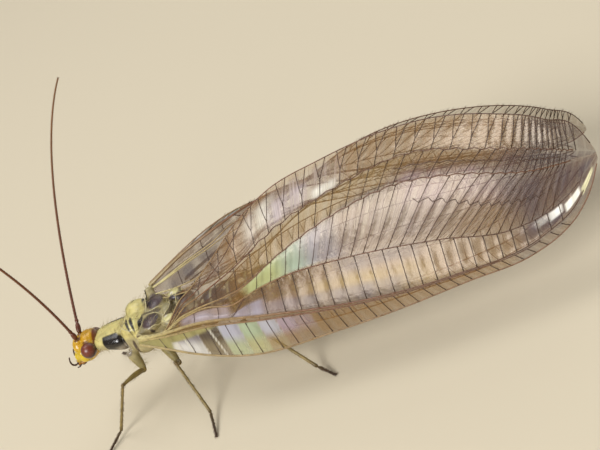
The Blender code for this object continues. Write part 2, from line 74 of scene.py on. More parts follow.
# The far forewing's hind edge starts further down the thorax than the near one's.
FAR_HIND_BASE = ((0, .7), (1.5, 1.2), (3.2, 1.7), (4.8, 2.4))
FOREWING_LINES = {
    "costa": ((0, -.35), (1, -.72), (2.8, -1.45), (5.1, -2.08), (9.3, -2.08), (12, -1.92),
              (15, -1.62), (17.8, -1.33), (19, -.9), (19.9, -.31), (20.7, .63), (21.15, 1.45)),
    "radius": ((0, -.1), (1.2, -.17), (3.3, -.17), (6.6, -.65), (10.2, -1.11), (14.6, -1.21),
               (18.4, -.73), (19.9, .05), (21.15, 1.5)),
    "sector": ((0, -.06), (1.8, -.09), (2.5, .06), (3.3, .12), (4.9, -.1), (5.9, .34), (7.4, .63),
               (10.4, .68), (14.5, .28), (17.3, -.18), (19.6, .4), (21.15, 1.56)),
    "media": ((0, -.03), (1.8, -.05), (2.5, .26), (3.3, .4), (5.9, .75), (7.7, 1.52), (11, 2.55),
              (13.6, 2.87), (16, 2.5), (18.5, 1.8), (21.15, 1.63)),
    "cubitus": ((0, .0), (1.8, .0), (2.2, .26), (2.7, .60), (3.5, .86), (5.5, 1.55), (7.9, 2.64),
                (11.2, 3.53), (14.4, 3.87), (17, 3.18), (18.8, 2.6), (21.15, 1.72)),
    "hind": ((0, .04), (1.7, .06), (2.1, .46), (2.6, .92), (3.4, 1.34), (4.7, 2.2), (6.5, 3.5),
             (8.1, 4.28), (10.5, 4.75), (13.8, 5.04), (16, 4.85), (17.8, 4.35), (19.7, 3.5),
             (20.9, 2.5), (21.15, 1.8)),
}
HINDWING_LINES = {
    "costa": ((0, -.3), (1, -.55), (3, -1.15), (6, -1.5), (11, -1.5), (15, -1.15), (17.2, -.4),
              (18.3, .55), (18.75, 1.3)),
    "radius": ((0, -.12), (3, -.4), (8, -.85), (13, -.85), (16.5, -.15), (18.75, 1.35)),
    "sector": ((0, .0), (3, .1), (6, .25), (10, .3), (14, .1), (18.75, 1.40)),
    "media": ((0, .08), (3, .3), (6, .8), (10, 1.2), (14, 1.1), (18.75, 1.45)),
    "cubitus": ((0, .2), (3, .7), (6, 1.6), (10, 2.1), (14, 1.9), (18.75, 1.5)),
    "hind": ((0, .34), (2, .7), (4, 1.7), (7, 2.6), (11, 3.0), (14, 2.9), (16.5, 2.4),
             (18.2, 1.9), (18.75, 1.6)),
}
ROWS = ("costa", "radius", "sector", "media", "cubitus", "hind")
WINGS = {
    "forewing": {"lines": FOREWING_LINES, "length": FOREWING_LENGTH, "start": 0.0, "inset": 0.0,
                 "grid": (330, 101), "fork_at": 5.85, "scale": 1.0, "seed": 11, "hair_step": .13,
                 "cover": {"left": .31, "right": .15}, "patches": {"left": 1.0, "right": .35}},
    "hindwing": {"lines": HINDWING_LINES, "length": HINDWING_LENGTH, "start": 1.7, "inset": .97,
                 "grid": (240, 61), "fork_at": 3.6, "scale": .8, "seed": 23, "hair_step": .22,
                 "cover": {"left": .06, "right": .06}, "patches": {"left": .2, "right": .1}},
}
PLEATS = (0.0, .10, -.07, .09, -.05, 0.0)   # height of the membrane's folds at each line
MEMBRANE = .012                             # thickness of the membrane
BILLOW = .018                               # how far the membrane bulges within a cell
# Spacing of the branches behind the sector and of the crossveins before it: last + (first -
# last) fading over a length, all in mm, from the fork towards the tip.
BRANCH_SPACING = {"last": .44, "first": .86, "fade": 3.6}
LADDER_SPACING = {"last": .46, "first": .88, "fade": 6.0}
# How far a branch has moved tipwards when it crosses each row beyond the sector: (start, mm).
LEAN_BACK = ((0, .1), (6, .3), (8, .5), (9.5, .9), (10.8, 1.3), (12.3, 1.8), (13.5, 2.3),
             (15, 2.5), (17, 2.0), (19, 1.0), (21.2, .2))
LEAN_MIDDLE = ((0, .1), (8, .2), (10, .45), (12, .8), (14, .9), (16, .6), (18, .3), (21.2, .1))
LEAN_OUTER = ((0, .1), (8, .2), (10, .5), (12, .75), (14, .7), (16, .4), (18, .2), (21.2, .05))

# Legs: coxa top, trochanter, knee, ankle, toe.
LEG_JOINTS = {
    "fore_left": ((.95, -1.42, 2.68), (1.22, -1.02, 2.12), (2.7, -1.49, 2.69),
                  (2.58, -3.10, .36), (3.63, -3.75, .06)),
    "fore_right": ((-.95, -1.42, 2.68), (-1.25, -1.15, 2.10), (-2.7, -2.2, 2.75),
                   (-2.9, -3.7, .36), (-3.7, -4.5, .06)),
    "mid_left": ((.85, .35, 2.28), (1.15, .55, 1.75), (2.15, 1.0, 2.42),
                 (3.55, 1.75, .36), (4.85, 2.05, .06)),
    "mid_right": ((-.85, .35, 2.28), (-1.15, .50, 1.75), (-2.3, .6, 2.45),
                  (-3.9, .9, .36), (-5.2, 1.1, .06)),
    "hind_left": ((.70, 1.75, 2.30), (.95, 2.00, 1.66), (1.50, 4.6, 2.84),
                  (3.05, 6.95, .36), (3.6, 7.67, .06)),
    "hind_right": ((-.70, 1.75, 2.30), (-.95, 2.00, 1.66), (-1.65, 5.9, 2.82),
                   (-3.0, 10.3, .36), (-3.4, 11.9, .06)),
}
LEG_PIECES = ("femur", "tibia", "tarsus")

# Head: laid out level, then tilted as one piece about its pivot.
HEAD_PIVOT = np.array((0.0, -3.27, 3.57))
HEAD_TILT = {"roll": -9.5, "pitch": -6.5, "yaw": 3.0}
EYES = {"at": (.70, -3.14, 3.64), "radius": .365}

# Antennae: root on the level head, tip in the finished pose, and bend.
ANTENNAE = {
    "left": {"root": (.30, -3.62, 4.20), "end": (2.35, -7.7, 17.8), "bend": (-.5, .9, .2)},
    "right": {"root": (-.30, -3.62, 4.20), "end": (-12.0, -2.9, 11.4), "bend": (-.7, -.4, 1.0)},
}
FLAGELLUM_RINGS = 96
FLAGELLUM_START = .035      # share of the antenna that scape and pedicel take
WHORL = 7                   # hairs round each ring

ABDOMEN = {"start": 2.45, "length": 7.4, "radius": .84, "rings": 8}

bpy.context.scene.cycles.transparent_max_bounces = 32
bpy.context.scene.view_settings.view_transform = "Standard"


# ---------------------------------------------------------------- meshes

def put_mesh(name, points, faces, material, uv=None, colours=None, values=None):
    """One smooth mesh object: points in millimetres, faces, and what each point carries.

    uv is (map name, pairs of numbers), colours the tint attribute, values others by name.
    """
    mesh = bpy.data.meshes.new(name)
    mesh.from_pydata(((np.asarray(points, float) + STAND) * MM).tolist(), [], faces.tolist())
    if uv is not None:
        layer = mesh.uv_layers.new(name=uv[0])
        layer.data.foreach_set("uv", np.asarray(uv[1], np.float32)[faces.ravel()].ravel())
    if colours is not None:
        layer = mesh.color_attributes.new("tint", "FLOAT_COLOR", "POINT")
        layer.data.foreach_set("color", np.asarray(colours, np.float32).ravel())
    for key, numbers in (values or {}).items():
        layer = mesh.attributes.new(key, "FLOAT", "POINT")
        layer.data.foreach_set("value", np.asarray(numbers, np.float32).ravel())
    mesh.update()
    mesh.shade_smooth()
    mesh.materials.append(material)
    item = bpy.data.objects.new(name, mesh)
    bpy.context.scene.collection.objects.link(item)
    return item


def dress(piece, slot, *nodes):
    """The piece rides on the one body and stands for the named solids; its slot is not used."""
    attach(piece, "root")
    if nodes:
        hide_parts(*nodes)


def sheet_faces(rows, columns, wrap=False, start=0):
    """Quads of a grid of rows x columns points; wrap joins the last column to the first."""
    i, j = np.meshgrid(np.arange(rows - 1), np.arange(columns - (not wrap)), indexing="ij")
    after = (j + 1) % columns
    quads = np.stack((i * columns + j, i * columns + after,
                      (i + 1) * columns + after, (i + 1) * columns + j), axis=-1)
    return quads.reshape(-1, 4) + start


def as_triangles(quads):
    """Each quad as two triangles."""
    return np.concatenate((quads[:, [0, 1, 2]], quads[:, [0, 2, 3]]))


def unit(vectors):
    """Each vector divided by its length."""
    return vectors / np.maximum(np.linalg.norm(vectors, axis=-1, keepdims=True), 1e-12)


def tubes(paths, radii, sides, guide=(0, 0, 1.0)):
    """Closed tubes: each ring is a circle of the given radius square to its path.

    paths is (n, k, 3), radii (n, k). The ring's zero direction is the guide made square to the
    path. The two ends close on a point of their own.
    """
    paths, radii = np.asarray(paths, float), np.asarray(radii, float)
    n, k, _ = paths.shape
    ways = unit(np.gradient(paths, axis=1))
    guide = np.broadcast_to(np.asarray(guide, float), paths.shape)
    first = unit(guide - (guide * ways).sum(-1, keepdims=True) * ways)
    second = np.cross(ways, first)
    turn = np.arange(sides) * TAU / sides
    ring = (first[:, :, None] * np.cos(turn)[:, None] + second[:, :, None] * np.sin(turn)[:, None])
    rings = paths[:, :, None] + radii[:, :, None, None] * ring
    block = np.concatenate((paths[:, :1], rings.reshape(n, k * sides, 3), paths[:, -1:]), axis=1)
    body = sheet_faces(k, sides, wrap=True, start=1)
    j = np.arange(sides)
    near = np.stack((0 * j, 1 + (j + 1) % sides, 1 + j), axis=-1)
    far_start = 1 + (k - 1) * sides
    far = np.stack((0 * j + 1 + k * sides, far_start + j, far_start + (j + 1) % sides), axis=-1)
    triangles = np.concatenate((as_triangles(body), near, far))
    step = np.arange(n)[:, None, None] * block.shape[1]
    return block.reshape(-1, 3), (triangles[None] + step).reshape(-1, 3)


def tube(path, radii, sides):
    """One closed tube along a path, with its own radius at each point."""
    return tubes(np.array([path]), np.array([radii]), sides)


def around(values, sides):
    """One value for each point of tubes() from one value for each ring."""
    rings = np.repeat(values, sides, axis=1)
    return np.concatenate((values[:, :1], rings, values[:, -1:]), axis=1).ravel()


def joined(*shapes):
    """Several (points, faces) shapes as one."""
    points, faces, start = [], [], 0
    for spots, sides in shapes:
        points.append(spots)
        faces.append(sides + start)
        start += len(spots)
    return np.concatenate(points), np.concatenate(faces)


def turned(axis, degrees):
    """The matrix of a turn about X, Y or Z."""
    return np.array(Matrix.Rotation(math.radians(degrees), 3, axis))


def lump(centre, size, pitch=0.0, rows=24, columns=32):
    """An ellipsoid: half sizes times the unit sphere, tipped about X by pitch degrees."""
    polar = np.linspace(0, math.pi, rows)[:, None]
    turn = np.arange(columns)[None] * TAU / columns
    ball = np.stack((np.sin(polar) * np.cos(turn), np.sin(polar) * np.sin(turn),
                     np.cos(polar) + 0 * turn), axis=-1) * np.array(size)
    points = ball.reshape(-1, 3) @ turned("X", pitch).T + np.array(centre)
    return points, as_triangles(sheet_faces(rows, columns, wrap=True)[:, ::-1])


def smooth_line(knots, u):
    """Value at u of a smooth curve through (u, v) knots, with slopes taken from neighbours."""
    us, vs = np.array(knots, float).T
    slopes = np.gradient(vs, us)
    i = np.clip(np.searchsorted(us, u) - 1, 0, len(us) - 2)
    width = us[i + 1] - us[i]
    t = (u - us[i]) / width
    return ((2 * t**3 - 3 * t**2 + 1) * vs[i] + (t**3 - 2 * t**2 + t) * width * slopes[i]
            + (3 * t**2 - 2 * t**3) * vs[i + 1] + (t**3 - t**2) * width * slopes[i + 1])


def evenly(values):
    """Knots for smooth_line: the values at even steps from 0 to 1."""
    return np.stack((np.linspace(0, 1, len(values)), values), axis=1)


def smooth_path(knots, t):
    """Points along a smooth curve through 3-D knots at even parameters from 0 to 1."""
    knots = np.array(knots, float)
    return np.stack([smooth_line(evenly(knots[:, k]), t) for k in range(3)], axis=-1)


def ramp(low, high, x):
    """0 below low, 1 above high, smooth between."""
    t = np.clip((x - low) / (high - low), 0, 1)
    return t * t * (3 - 2 * t)


def window(low, high, edge, x):
    """1 between low and high, falling to 0 over edge on either side."""
    return ramp(low - edge, low + edge, x) * (1 - ramp(high - edge, high + edge, x))


def normals_of(points, faces):
    """Each point's outward direction: the sum of the normals of its faces."""
    a, b, c = (points[faces[:, k]] for k in range(3))
    flat = np.cross(b - a, c - a)
    total = np.zeros_like(points)
    for k in range(faces.shape[1]):
        np.add.at(total, faces[:, k], flat)
    return unit(total)


HAIR_SIDES = 3
HAIR_PATCH = .0015      # half the width of a hair's patch on its UV map


def on_map(across, along):
    """A place on the unwrap from two shares of it, kept a little inside its edges."""
    return np.stack((across, along), axis=-1) * .96 + .02


def spokes(way, turn):
    """Directions square to a way, turned about it by turn."""
    first = unit(np.cross(way, (0, 0, 1.0)))
    second = np.cross(way, first)
    return first * np.cos(turn)[:, None] + second * np.sin(turn)[:, None]


def hairs(roots, ways, lengths, thickness, droop, places):
    """Three-sided hairs: root + way times s + droop times s squared, thinning to a point.

    places holds each root's spot on the skin's own unwrap; the hair's UV is a small patch there.
    """
    s = np.array((0, .5, 1.0))
    reach = lengths[:, None] * s
    paths = roots[:, None] + ways[:, None] * reach[..., None] + droop * (reach * s)[..., None]
    radii = np.broadcast_to(thickness, lengths.shape)[:, None] * np.array((1, .75, .15))
    guide = np.roll(ways, 1, axis=-1)[:, None] + .1
    points, faces = tubes(paths, radii, HAIR_SIDES, guide)
    turn = np.arange(HAIR_SIDES) * TAU / HAIR_SIDES
    ring = np.stack((np.cos(turn), np.sin(turn)), axis=-1)
    rings = (ring[None] * np.array((1, .6, .2))[:, None, None]).reshape(-1, 2)
    patch = np.concatenate((np.zeros((1, 2)), rings, np.zeros((1, 2)))) * HAIR_PATCH
    uv = (places[:, None] + patch[None]).reshape(-1, 2)
    return points, faces, uv


# ---------------------------------------------------------------- materials

def linear(hex_colour, alpha=1.0):
    """A linear RGBA from an sRGB hex value."""
    parts = [int(hex_colour[k:k + 2], 16) / 255 for k in (1, 3, 5)]
    return (*[c / 12.92 if c <= .04045 else ((c + .055) / 1.055) ** 2.4 for c in parts], alpha)


def mixed(base, colour, share):
    """Blend an RGBA array towards one RGBA colour by a share from 0 to 1."""
    share = share[..., None]
    return base * (1 - share) + np.array(colour) * share


def painted(points, ground, *layers):
    """A colour for each point: the ground, with (colour, share) layers laid over it in turn."""
    colour = np.tile(linear(ground), (len(points), 1))
    for tone, share in layers:
        colour = mixed(colour, linear(tone), share)
    return colour


def new_material(name):
    """An empty node material and its tree."""
    material = bpy.data.materials.new(name)
    material.use_nodes = True
    material.node_tree.nodes.clear()
    return material, material.node_tree


def add(tree, kind, inputs=None, out=0, **settings):
    """Adds a node and gives one of its outputs: settings are its properties, inputs its sockets'
    values, or links where an input is another node's output.
    """
    node = tree.nodes.new(kind)
    for key, value in settings.items():
        setattr(node, key, value)
    for key, value in (inputs or {}).items():
        if isinstance(value, bpy.types.NodeSocket):
            tree.links.new(value, node.inputs[key])
        else:
            node.inputs[key].default_value = value
    return node.outputs[out] if len(node.outputs) else None


def cuticle(name, roughness, gloss_noise, scale_mm, bump, coat=0.0, glow=0.0):
    """Insect cuticle: sclerotised chitin painted by the tint attribute, with fine relief.

    The gloss attribute polishes the hard dark plates; glow lets light into the soft pale skin.
    """
    material, tree = new_material(name)
    place = add(tree, "ShaderNodeTexCoord", out="Object")
    paint = add(tree, "ShaderNodeAttribute", attribute_name="tint")
    polish = add(tree, "ShaderNodeAttribute", out="Fac", attribute_name="gloss")
    grain = add(tree, "ShaderNodeTexNoise",
                {"Vector": place, "Scale": 1 / (scale_mm * MM), "Detail": 4.0})
    mottle = add(tree, "ShaderNodeTexNoise",
                 {"Vector": place, "Scale": 1 / (6 * scale_mm * MM), "Detail": 3.0})
    shade = add(tree, "ShaderNodeMapRange", {"Value": mottle, "From Min": .3, "From Max": .7,
                                             "To Min": .80, "To Max": 1.12})
    colour = add(tree, "ShaderNodeMix", {"Factor": 1.0, "A": paint, "B": shade}, out="Result",
                 data_type="RGBA", blend_type="MULTIPLY")
    rough = add(tree, "ShaderNodeMapRange", {"Value": grain, "To Min": roughness - gloss_noise,
                                             "To Max": roughness + gloss_noise})
    smooth = add(tree, "ShaderNodeMath", {0: polish, 1: .12 - roughness, 2: rough},
                 operation="MULTIPLY_ADD")
    relief = add(tree, "ShaderNodeBump", {"Height": grain, "Strength": bump, "Distance": .02 * MM})
    shader = add(tree, "ShaderNodeBsdfPrincipled",
                 {"Base Color": colour, "Roughness": smooth, "Normal": relief, "IOR": 1.56,
                  "Coat Weight": coat, "Coat Roughness": .22, "Subsurface Weight": glow,
                  "Subsurface Radius": (1.0, .6, .25), "Subsurface Scale": .12 * MM})
    add(tree, "ShaderNodeOutputMaterial", {"Surface": shader})
    return material


def membrane_material():
    """Wing membrane: a clear chitin film half a micron thick, cast amber, with a satin sheen.

    The tint attribute gives the film's colour and cover, painted sheen included. The fibre
    attribute says how strongly the fine fibres and their painted sheen streaks show, which follow
    the branches on the wing's own map.
    """
    material, tree = new_material("chitin_film")
    paint = add(tree, "ShaderNodeAttribute", attribute_name="tint")
    film_cover = paint.node.outputs["Alpha"]
    fibre_and_sheen_share = add(tree, "ShaderNodeAttribute", out="Fac", attribute_name="fibre_and_sheen")
    lie = add(tree, "ShaderNodeUVMap", uv_map="lie")
    # Fibres 0.11 mm apart and about 2 mm long.
    spread = add(tree, "ShaderNodeMapping", {"Vector": lie, "Scale": (9.0, .5, 1.0)})
    fibres = add(tree, "ShaderNodeTexNoise",
                 {"Vector": spread, "Scale": 1.0, "Detail": 3.0, "Roughness": .6})
    strong = add(tree, "ShaderNodeMapRange", {"Value": fibres, "From Min": .42, "From Max": .68,
                                              "To Min": -.45, "To Max": 1.0})
    woven = add(tree, "ShaderNodeMath", {0: strong, 1: fibre_and_sheen_share}, operation="MULTIPLY")
    cover = add(tree, "ShaderNodeMath", {0: woven, 1: film_cover, 2: film_cover},
                operation="MULTIPLY_ADD", use_clamp=True)
    # Seen edge on, more of the film lies in the line of sight.
    edge = add(tree, "ShaderNodeLayerWeight", {"Blend": .25}, out="Facing")
    veil = add(tree, "ShaderNodeMath", {0: edge, 1: .06, 2: cover},
               operation="MULTIPLY_ADD", use_clamp=True)
    # Painted sheen: where the fibres show, the film is lightened in streaks towards a pale pinkish
    # white.
    sheen_streaks = add(tree, "ShaderNodeMath", {0: woven, 1: .55}, operation="MULTIPLY", use_clamp=True)
    pale = add(tree, "ShaderNodeMix", {"Factor": sheen_streaks, "A": paint, "B": linear("#CDBCB4")},
               out="Result", data_type="RGBA")
    place = add(tree, "ShaderNodeTexCoord", out="Object")
    ripple = add(tree, "ShaderNodeTexNoise", {"Vector": place, "Scale": 1 / (.25 * MM), "Detail": 2.0})
    relief = add(tree, "ShaderNodeBump", {"Height": ripple, "Strength": .3, "Distance": .04 * MM})
    film = add(tree, "ShaderNodeBsdfPrincipled",
               {"Base Color": pale, "Normal": relief, "Roughness": .45, "IOR": 1.45})
    clear = add(tree, "ShaderNodeBsdfTransparent")
    body = add(tree, "ShaderNodeMixShader", {0: veil, 1: clear, 2: film})
    glint = add(tree, "ShaderNodeBsdfAnisotropic",
                {"Normal": relief, "Roughness": .20, "Color": linear("#D6C8B8")})
    mirror = add(tree, "ShaderNodeFresnel", {"IOR": 1.35})
    soft = add(tree, "ShaderNodeMath", {0: mirror, 1: .055}, operation="MINIMUM")
    blend = add(tree, "ShaderNodeMixShader", {0: soft, 1: body, 2: glint})
    add(tree, "ShaderNodeOutputMaterial", {"Surface": blend})
    return material


def eye_material():
    """Compound eye: polished lenses in a hexagonal field, dark red-brown with a painted coppery sheen.
    """
    material, tree = new_material("compound_eye_lenses")
    place = add(tree, "ShaderNodeTexCoord", out="Object")
    # Real lenses are 0.02 mm apart; 0.04 mm is the finest that still shows.
    lenses = add(tree, "ShaderNodeTexVoronoi",
                 {"Vector": place, "Scale": 1 / (.04 * MM), "Randomness": .15})
    relief = add(tree, "ShaderNodeBump",
                 {"Height": lenses, "Strength": .25, "Distance": -.008 * MM})
    paint = add(tree, "ShaderNodeAttribute", attribute_name="tint")
    dark = add(tree, "ShaderNodeMapRange",
               {"Value": lenses, "From Max": .6, "To Min": 1.1, "To Max": .7})
    colour = add(tree, "ShaderNodeMix", {"Factor": 1.0, "A": paint, "B": dark}, out="Result",
                 data_type="RGBA", blend_type="MULTIPLY")
    shader = add(tree, "ShaderNodeBsdfPrincipled",
                 {"Base Color": colour, "Normal": relief, "Roughness": .36, "IOR": 1.5,
                  "Coat Weight": .6, "Coat Roughness": .36})
    add(tree, "ShaderNodeOutputMaterial", {"Surface": shader})
    return material


def floor_material():
    """Matt card with the faintest warm tone."""
    material, tree = new_material("matt_card")
    shader = add(tree, "ShaderNodeBsdfPrincipled",
                 {"Base Color": linear("#D9CDB4"), "Roughness": .9})
    add(tree, "ShaderNodeOutputMaterial", {"Surface": shader})
    return material


MATERIALS = {
    "skin": cuticle("soft_cuticle", .38, .08, .05, .45, coat=.25, glow=.06),
    "vein": cuticle("vein_cuticle", .38, .06, .04, .3),
    "horn": cuticle("antenna_cuticle", .35, .06, .04, .4, coat=.15),
    "leg": cuticle("leg_cuticle", .42, .08, .04, .5, glow=.1),
    "hair": cuticle("seta_cuticle", .35, .05, .04, .1),
    "membrane": membrane_material(),
    "eye": eye_material(),
}


def put_hairs(name, points, faces, uv, colour):
    """Hairs as one mesh of one colour, each with its patch on the unwrap."""
    return put_mesh(name, points, faces, MATERIALS["hair"], uv=("OFBake", uv),
                    colours=painted(points, colour))


# ---------------------------------------------------------------- wings

def wing_frame(label, u):
    """Root and lengthwise step of a side's wings, and at each u the cross and outward directions.

    The step is a little under 1, so that an arched wing is as long as a flat one.
    """
    side = SIDES[label]
    pose = WING_POSE[label]
    yaw, pitch = math.radians(pose["yaw"]), math.radians(pose["pitch"])
    slope = np.radians(smooth_line(pose["slope"], np.clip(u, 0, FOREWING_LENGTH)))
    root = np.array(pose["root"]) * (side, 1, 1)
    along = np.array((side * math.cos(pitch) * math.sin(yaw), math.cos(pitch) * math.cos(yaw),
                      -math.sin(pitch)))
    across = np.stack((-side * np.cos(slope), 0 * slope, np.sin(slope)), axis=-1)
    across = unit(across - (across @ along)[..., None] * along)
    outward = np.cross(along, across)
    outward *= np.sign(outward[..., 2:])
    rise = pose["arch"][0] / FOREWING_LENGTH
    return root, along * (1 - 8 / 3 * rise**2), across, outward


def wing_arch(label, u, v):
    """How far the resting wing bulges outwards: a parabola along it times one across it."""
    lengthwise, crosswise = WING_POSE[label]["arch"]
    s = np.clip(u / FOREWING_LENGTH, 0, 1)
    return (lengthwise * 4 * s * (1 - s)
            + crosswise * (1 - ((v - .6) / 3.7) ** 2) * np.sin(math.pi * s))


def across_at(wing, u, row):
    """The position across the wing of a row number: straight between neighbouring lines."""
    edges = np.stack([smooth_line(wing["lines"][name], u) for name in ROWS], axis=-1)
    row = np.clip(row, 0, len(ROWS) - 1 - 1e-9)
    k = np.floor(row).astype(int)
    before = np.take_along_axis(edges, k[..., None], -1)[..., 0]
    after = np.take_along_axis(edges, k[..., None] + 1, -1)[..., 0]
    return before + (row - k) * (after - before)


def place_number(spacing, x):
    """How many steps of a fading spacing lie between 0 and x: the integral of 1 / spacing."""
    last, extra, fade = spacing["last"], spacing["first"] - spacing["last"], spacing["fade"]
    return (x + fade * np.log((last + extra * np.exp(-x / fade)) / (last + extra))) / last


def station_number(wing, u, spacing=BRANCH_SPACING):
    """The number, counted from the fork, of the branch or crossvein at u."""
    return place_number(spacing, (u - wing["fork_at"]) / wing["scale"])


def station(wing, number, spacing=BRANCH_SPACING):
    """Where a branch or crossvein stands: the inverse of station_number, read from a table."""
    u = np.linspace(-1, wing["length"] + 1, 2000)
    return np.interp(number, station_number(wing, u, spacing), u)


def lean(wing, u, row):
    """How far a branch from u on the sector has moved tipwards at a row: more in the outer wing."""
    size = wing["length"] / FOREWING_LENGTH
    start = np.clip(u / size, 0, LEAN_BACK[-1][0])
    shift = (smooth_line(LEAN_BACK, start) * np.clip(row - 2, 0, 1)
             + smooth_line(LEAN_MIDDLE, start) * np.clip(row - 3, 0, 1)
             + smooth_line(LEAN_OUTER, start) * np.clip(row - 4, 0, 1)
             + .34 * np.clip(1 - row, 0, 1))
    return shift * size


def branch_place(wing, u, row, corrections=14):
    """Where on the sector the branch through (u, row) started: found by repeated correction."""
    start = u + 0 * row
    for _ in range(corrections):
        start = .35 * start + .65 * (u - lean(wing, start, row))
    return start


def cell_number(wing, u, row):
    """The number of the cell at (u, row): branches behind the sector, crossveins before it."""
    start = branch_place(wing, u, row)
    return np.where(row < 2, station_number(wing, start, LADDER_SPACING),
                    station_number(wing, start))


def fold(wing, u, row):
    """Height of the pleats: cosine steps between the heights at the lines, flat at both ends."""
    heights = np.array(PLEATS)
    row = np.clip(row, 0, len(ROWS) - 1 - 1e-9)
    k = np.floor(row).astype(int)
    t = (1 - np.cos(math.pi * (row - k))) / 2
    fade = ramp(.3, 2.5, u) * (1 - ramp(wing["length"] - 3.0, wing["length"] - .4, u))
    return (heights[k] * (1 - t) + heights[k + 1] * t) * fade


def billow(wing, u, row):
    """Height of the cells: a bulge in the middle of each, between lines and crossveins."""
    between_lines = np.sin(math.pi * (row % 1)) ** 2
    number = cell_number(wing, u, row)
    between_crossveins = np.sin(math.pi * number) ** 2
    way = 1 - 2 * (np.floor(row) % 2)
    fade = ramp(1.0, 3.0, u) * (1 - ramp(wing["length"] - 2.0, wing["length"] - .3, u))
    return BILLOW * way * between_lines * between_crossveins * fade


def wing_point(wing, u, row, lift=0.0):
    """Root + u along + v across + (arch + pleats + cells + lift) outwards."""
    v = across_at(wing, u, row)
    at = u + wing["start"]
    root, along, across, outward = wing_frame(wing["side"], at)
    drape = smooth_line(DRAPE[wing["side"]], np.clip(at, 0, FOREWING_LENGTH))
    drape = drape * ramp(-.2, .6 + .25 * np.clip(at, 0, 4), v)
    rise = (wing_arch(wing["side"], at, v) - wing["inset"] - drape + fold(wing, u, row)
            + billow(wing, u, row) + lift)
    return root + at[..., None] * along + v[..., None] * across + rise[..., None] * outward


def wander(u, row, seed):
    """A slow, uneven wave from -1 to 1: three sines of unrelated lengths."""
    return (np.sin(1.7 * u + 2.3 * row + seed) + np.sin(4.1 * u - 3.1 * row + 2 * seed)
            + np.sin(.63 * u + 5.7 * row + 3 * seed)) / 3


# The film's own tones, and its sheen painted as patches where marked below.
# Patches of the film: colour, cover, (from, to, edge) along, (from, to, edge) by row, unevenness.
FILM_PATCHES = (
    ("#5C4438", .34, (-1, 5.2, .8), (2.6, 5, .4), .35),
    ("#80603A", .42, (5.0, 11.5, .8), (1.45, 1.98, .12), .5),
    ("#B0903A", .48, (8.6, 13.8, .8), (1.06, 1.62, .12), .5),
    ("#5E4C4C", .60, (6.4, 13.0, .8), (1.00, 1.38, .08), .4),
    ("#5A4440", .50, (10.2, 13.8, .5), (1.72, 2.06, .08), .35),
    ("#A08058", .36, (13.5, 17.8, .8), (1.55, 2.05, .2), .5),
    ("#B08C48", .24, (6.5, 14.0, .8), (3.02, 3.95, .06), .4),
    # Painted reflection: the silvery band before the hind margin, with its white patches.
    ("#A39286", .46, (6.3, 11.2, .6), (4.04, 4.86, .10), .5),
    ("#EDE8D8", .62, (6.6, 8.2, .3), (4.25, 4.80, .10), .6),
    ("#CDC0C6", .62, (7.8, 9.8, .4), (4.08, 4.60, .12), .5),
    ("#E8E3D6", .74, (9.9, 11.1, .25), (3.99, 4.28, .08), .3),
    # Painted sheen: the pale green, mint and lilac-white band behind the sector.
    ("#BEC58A", .80, (5.9, 8.0, .3), (2.04, 2.97, .04), .08),
    ("#B1C1A8", .76, (7.8, 9.3, .5), (2.05, 2.98, .04), .12),
    ("#A6A2AC", .64, (8.9, 10.6, .6), (2.06, 2.98, .05), .25),
    ("#6A5046", .52, (10.2, 15.0, 1.0), (2.08, 2.80, .15), .35),
    ("#3E2E2A", .56, (10.0, 13.6, .8), (2.86, 3.16, .10), .5),
    ("#76583E", .42, (11.5, 19.0, 1.2), (2.3, 3.6, .35), .6),
    ("#94727A", .38, (13.5, 17.3, .8), (2.55, 3.3, .2), .6),
    # Painted sheen: lilac-white film near the base, behind the radius.
    ("#C2B6BE", .84, (2.4, 4.9, .25), (1.10, 2.55, .10), .35),
    ("#A69EAB", .76, (4.9, 6.6, .3), (1.04, 1.62, .08), .3),
    ("#96807E", .56, (6.5, 8.0, .4), (1.02, 1.45, .10), .5),
    ("#A89C50", .92, (-1, 1.55, .12), (-.1, 1.1, .05), .1),
    ("#8C7E74", .40, (17.0, 21.5, .5), (-.1, 1.0, .06), .4),
    ("#4E3A42", .64, (17.4, 21.5, .9), (.95, 3.9, .4), .30),
    ("#5A4C48", .34, (18.6, 21.5, .7), (3.2, 5.1, .4), .3),
    # Painted highlight: the white streak across the tip.
    ("#D0CCC8", .35, (18.20, 18.75, .12), (1.55, 1.95, .10), .4),
    ("#F6F3EA", .97, (18.75, 19.35, .06), (1.42, 1.90, .07), .1),
    ("#F8F5E6", .98, (19.45, 20.15, .06), (1.20, 1.72, .07), .1),
    ("#F4EEC0", .97, (20.22, 20.85, .06), (.75, 1.40, .10), .1),
)

# The far forewing's base, painted browner than the near one's: painted shade over the dark back.
FAR_BASE_SHADE_AND_GLINT = (
    ("#6E563E", .60, (-1, 7.6, 1.2), (.9, 3.3, .5), .25),
    ("#45353A", .60, (-1, 4.6, .8), (2.3, 4.4, .5), .5),
    # Painted glint: a pale streak just behind the radius.
    ("#E6DCCB", .85, (2.6, 4.8, .3), (1.04, 1.22, .05), .9),
)

# The costal cells from the base outwards: upper colour, cover, lower colour, cover.
# The pale, lilac and green tones among them are painted sheen.
COSTAL_CELLS = (
    ("#DAD4C6", .80, "#DCD7CC", .80), ("#857C80", .82, "#D2CDC4", .86),
    ("#4E3F2B", .86, "#847456", .80), ("#B2AFB9", .78, "#B4B98E", .62),
    ("#A9B592", .78, "#B9B47C", .50), ("#B7B4BA", .72, "#A98C50", .34),
    ("#AE98A0", .58, "#9C6F34", .26), ("#A88C88", .38, "#9C6F34", .22),
)
FIRST_COSTAL_CELL = -4.85
STREAKED_CELLS = 3


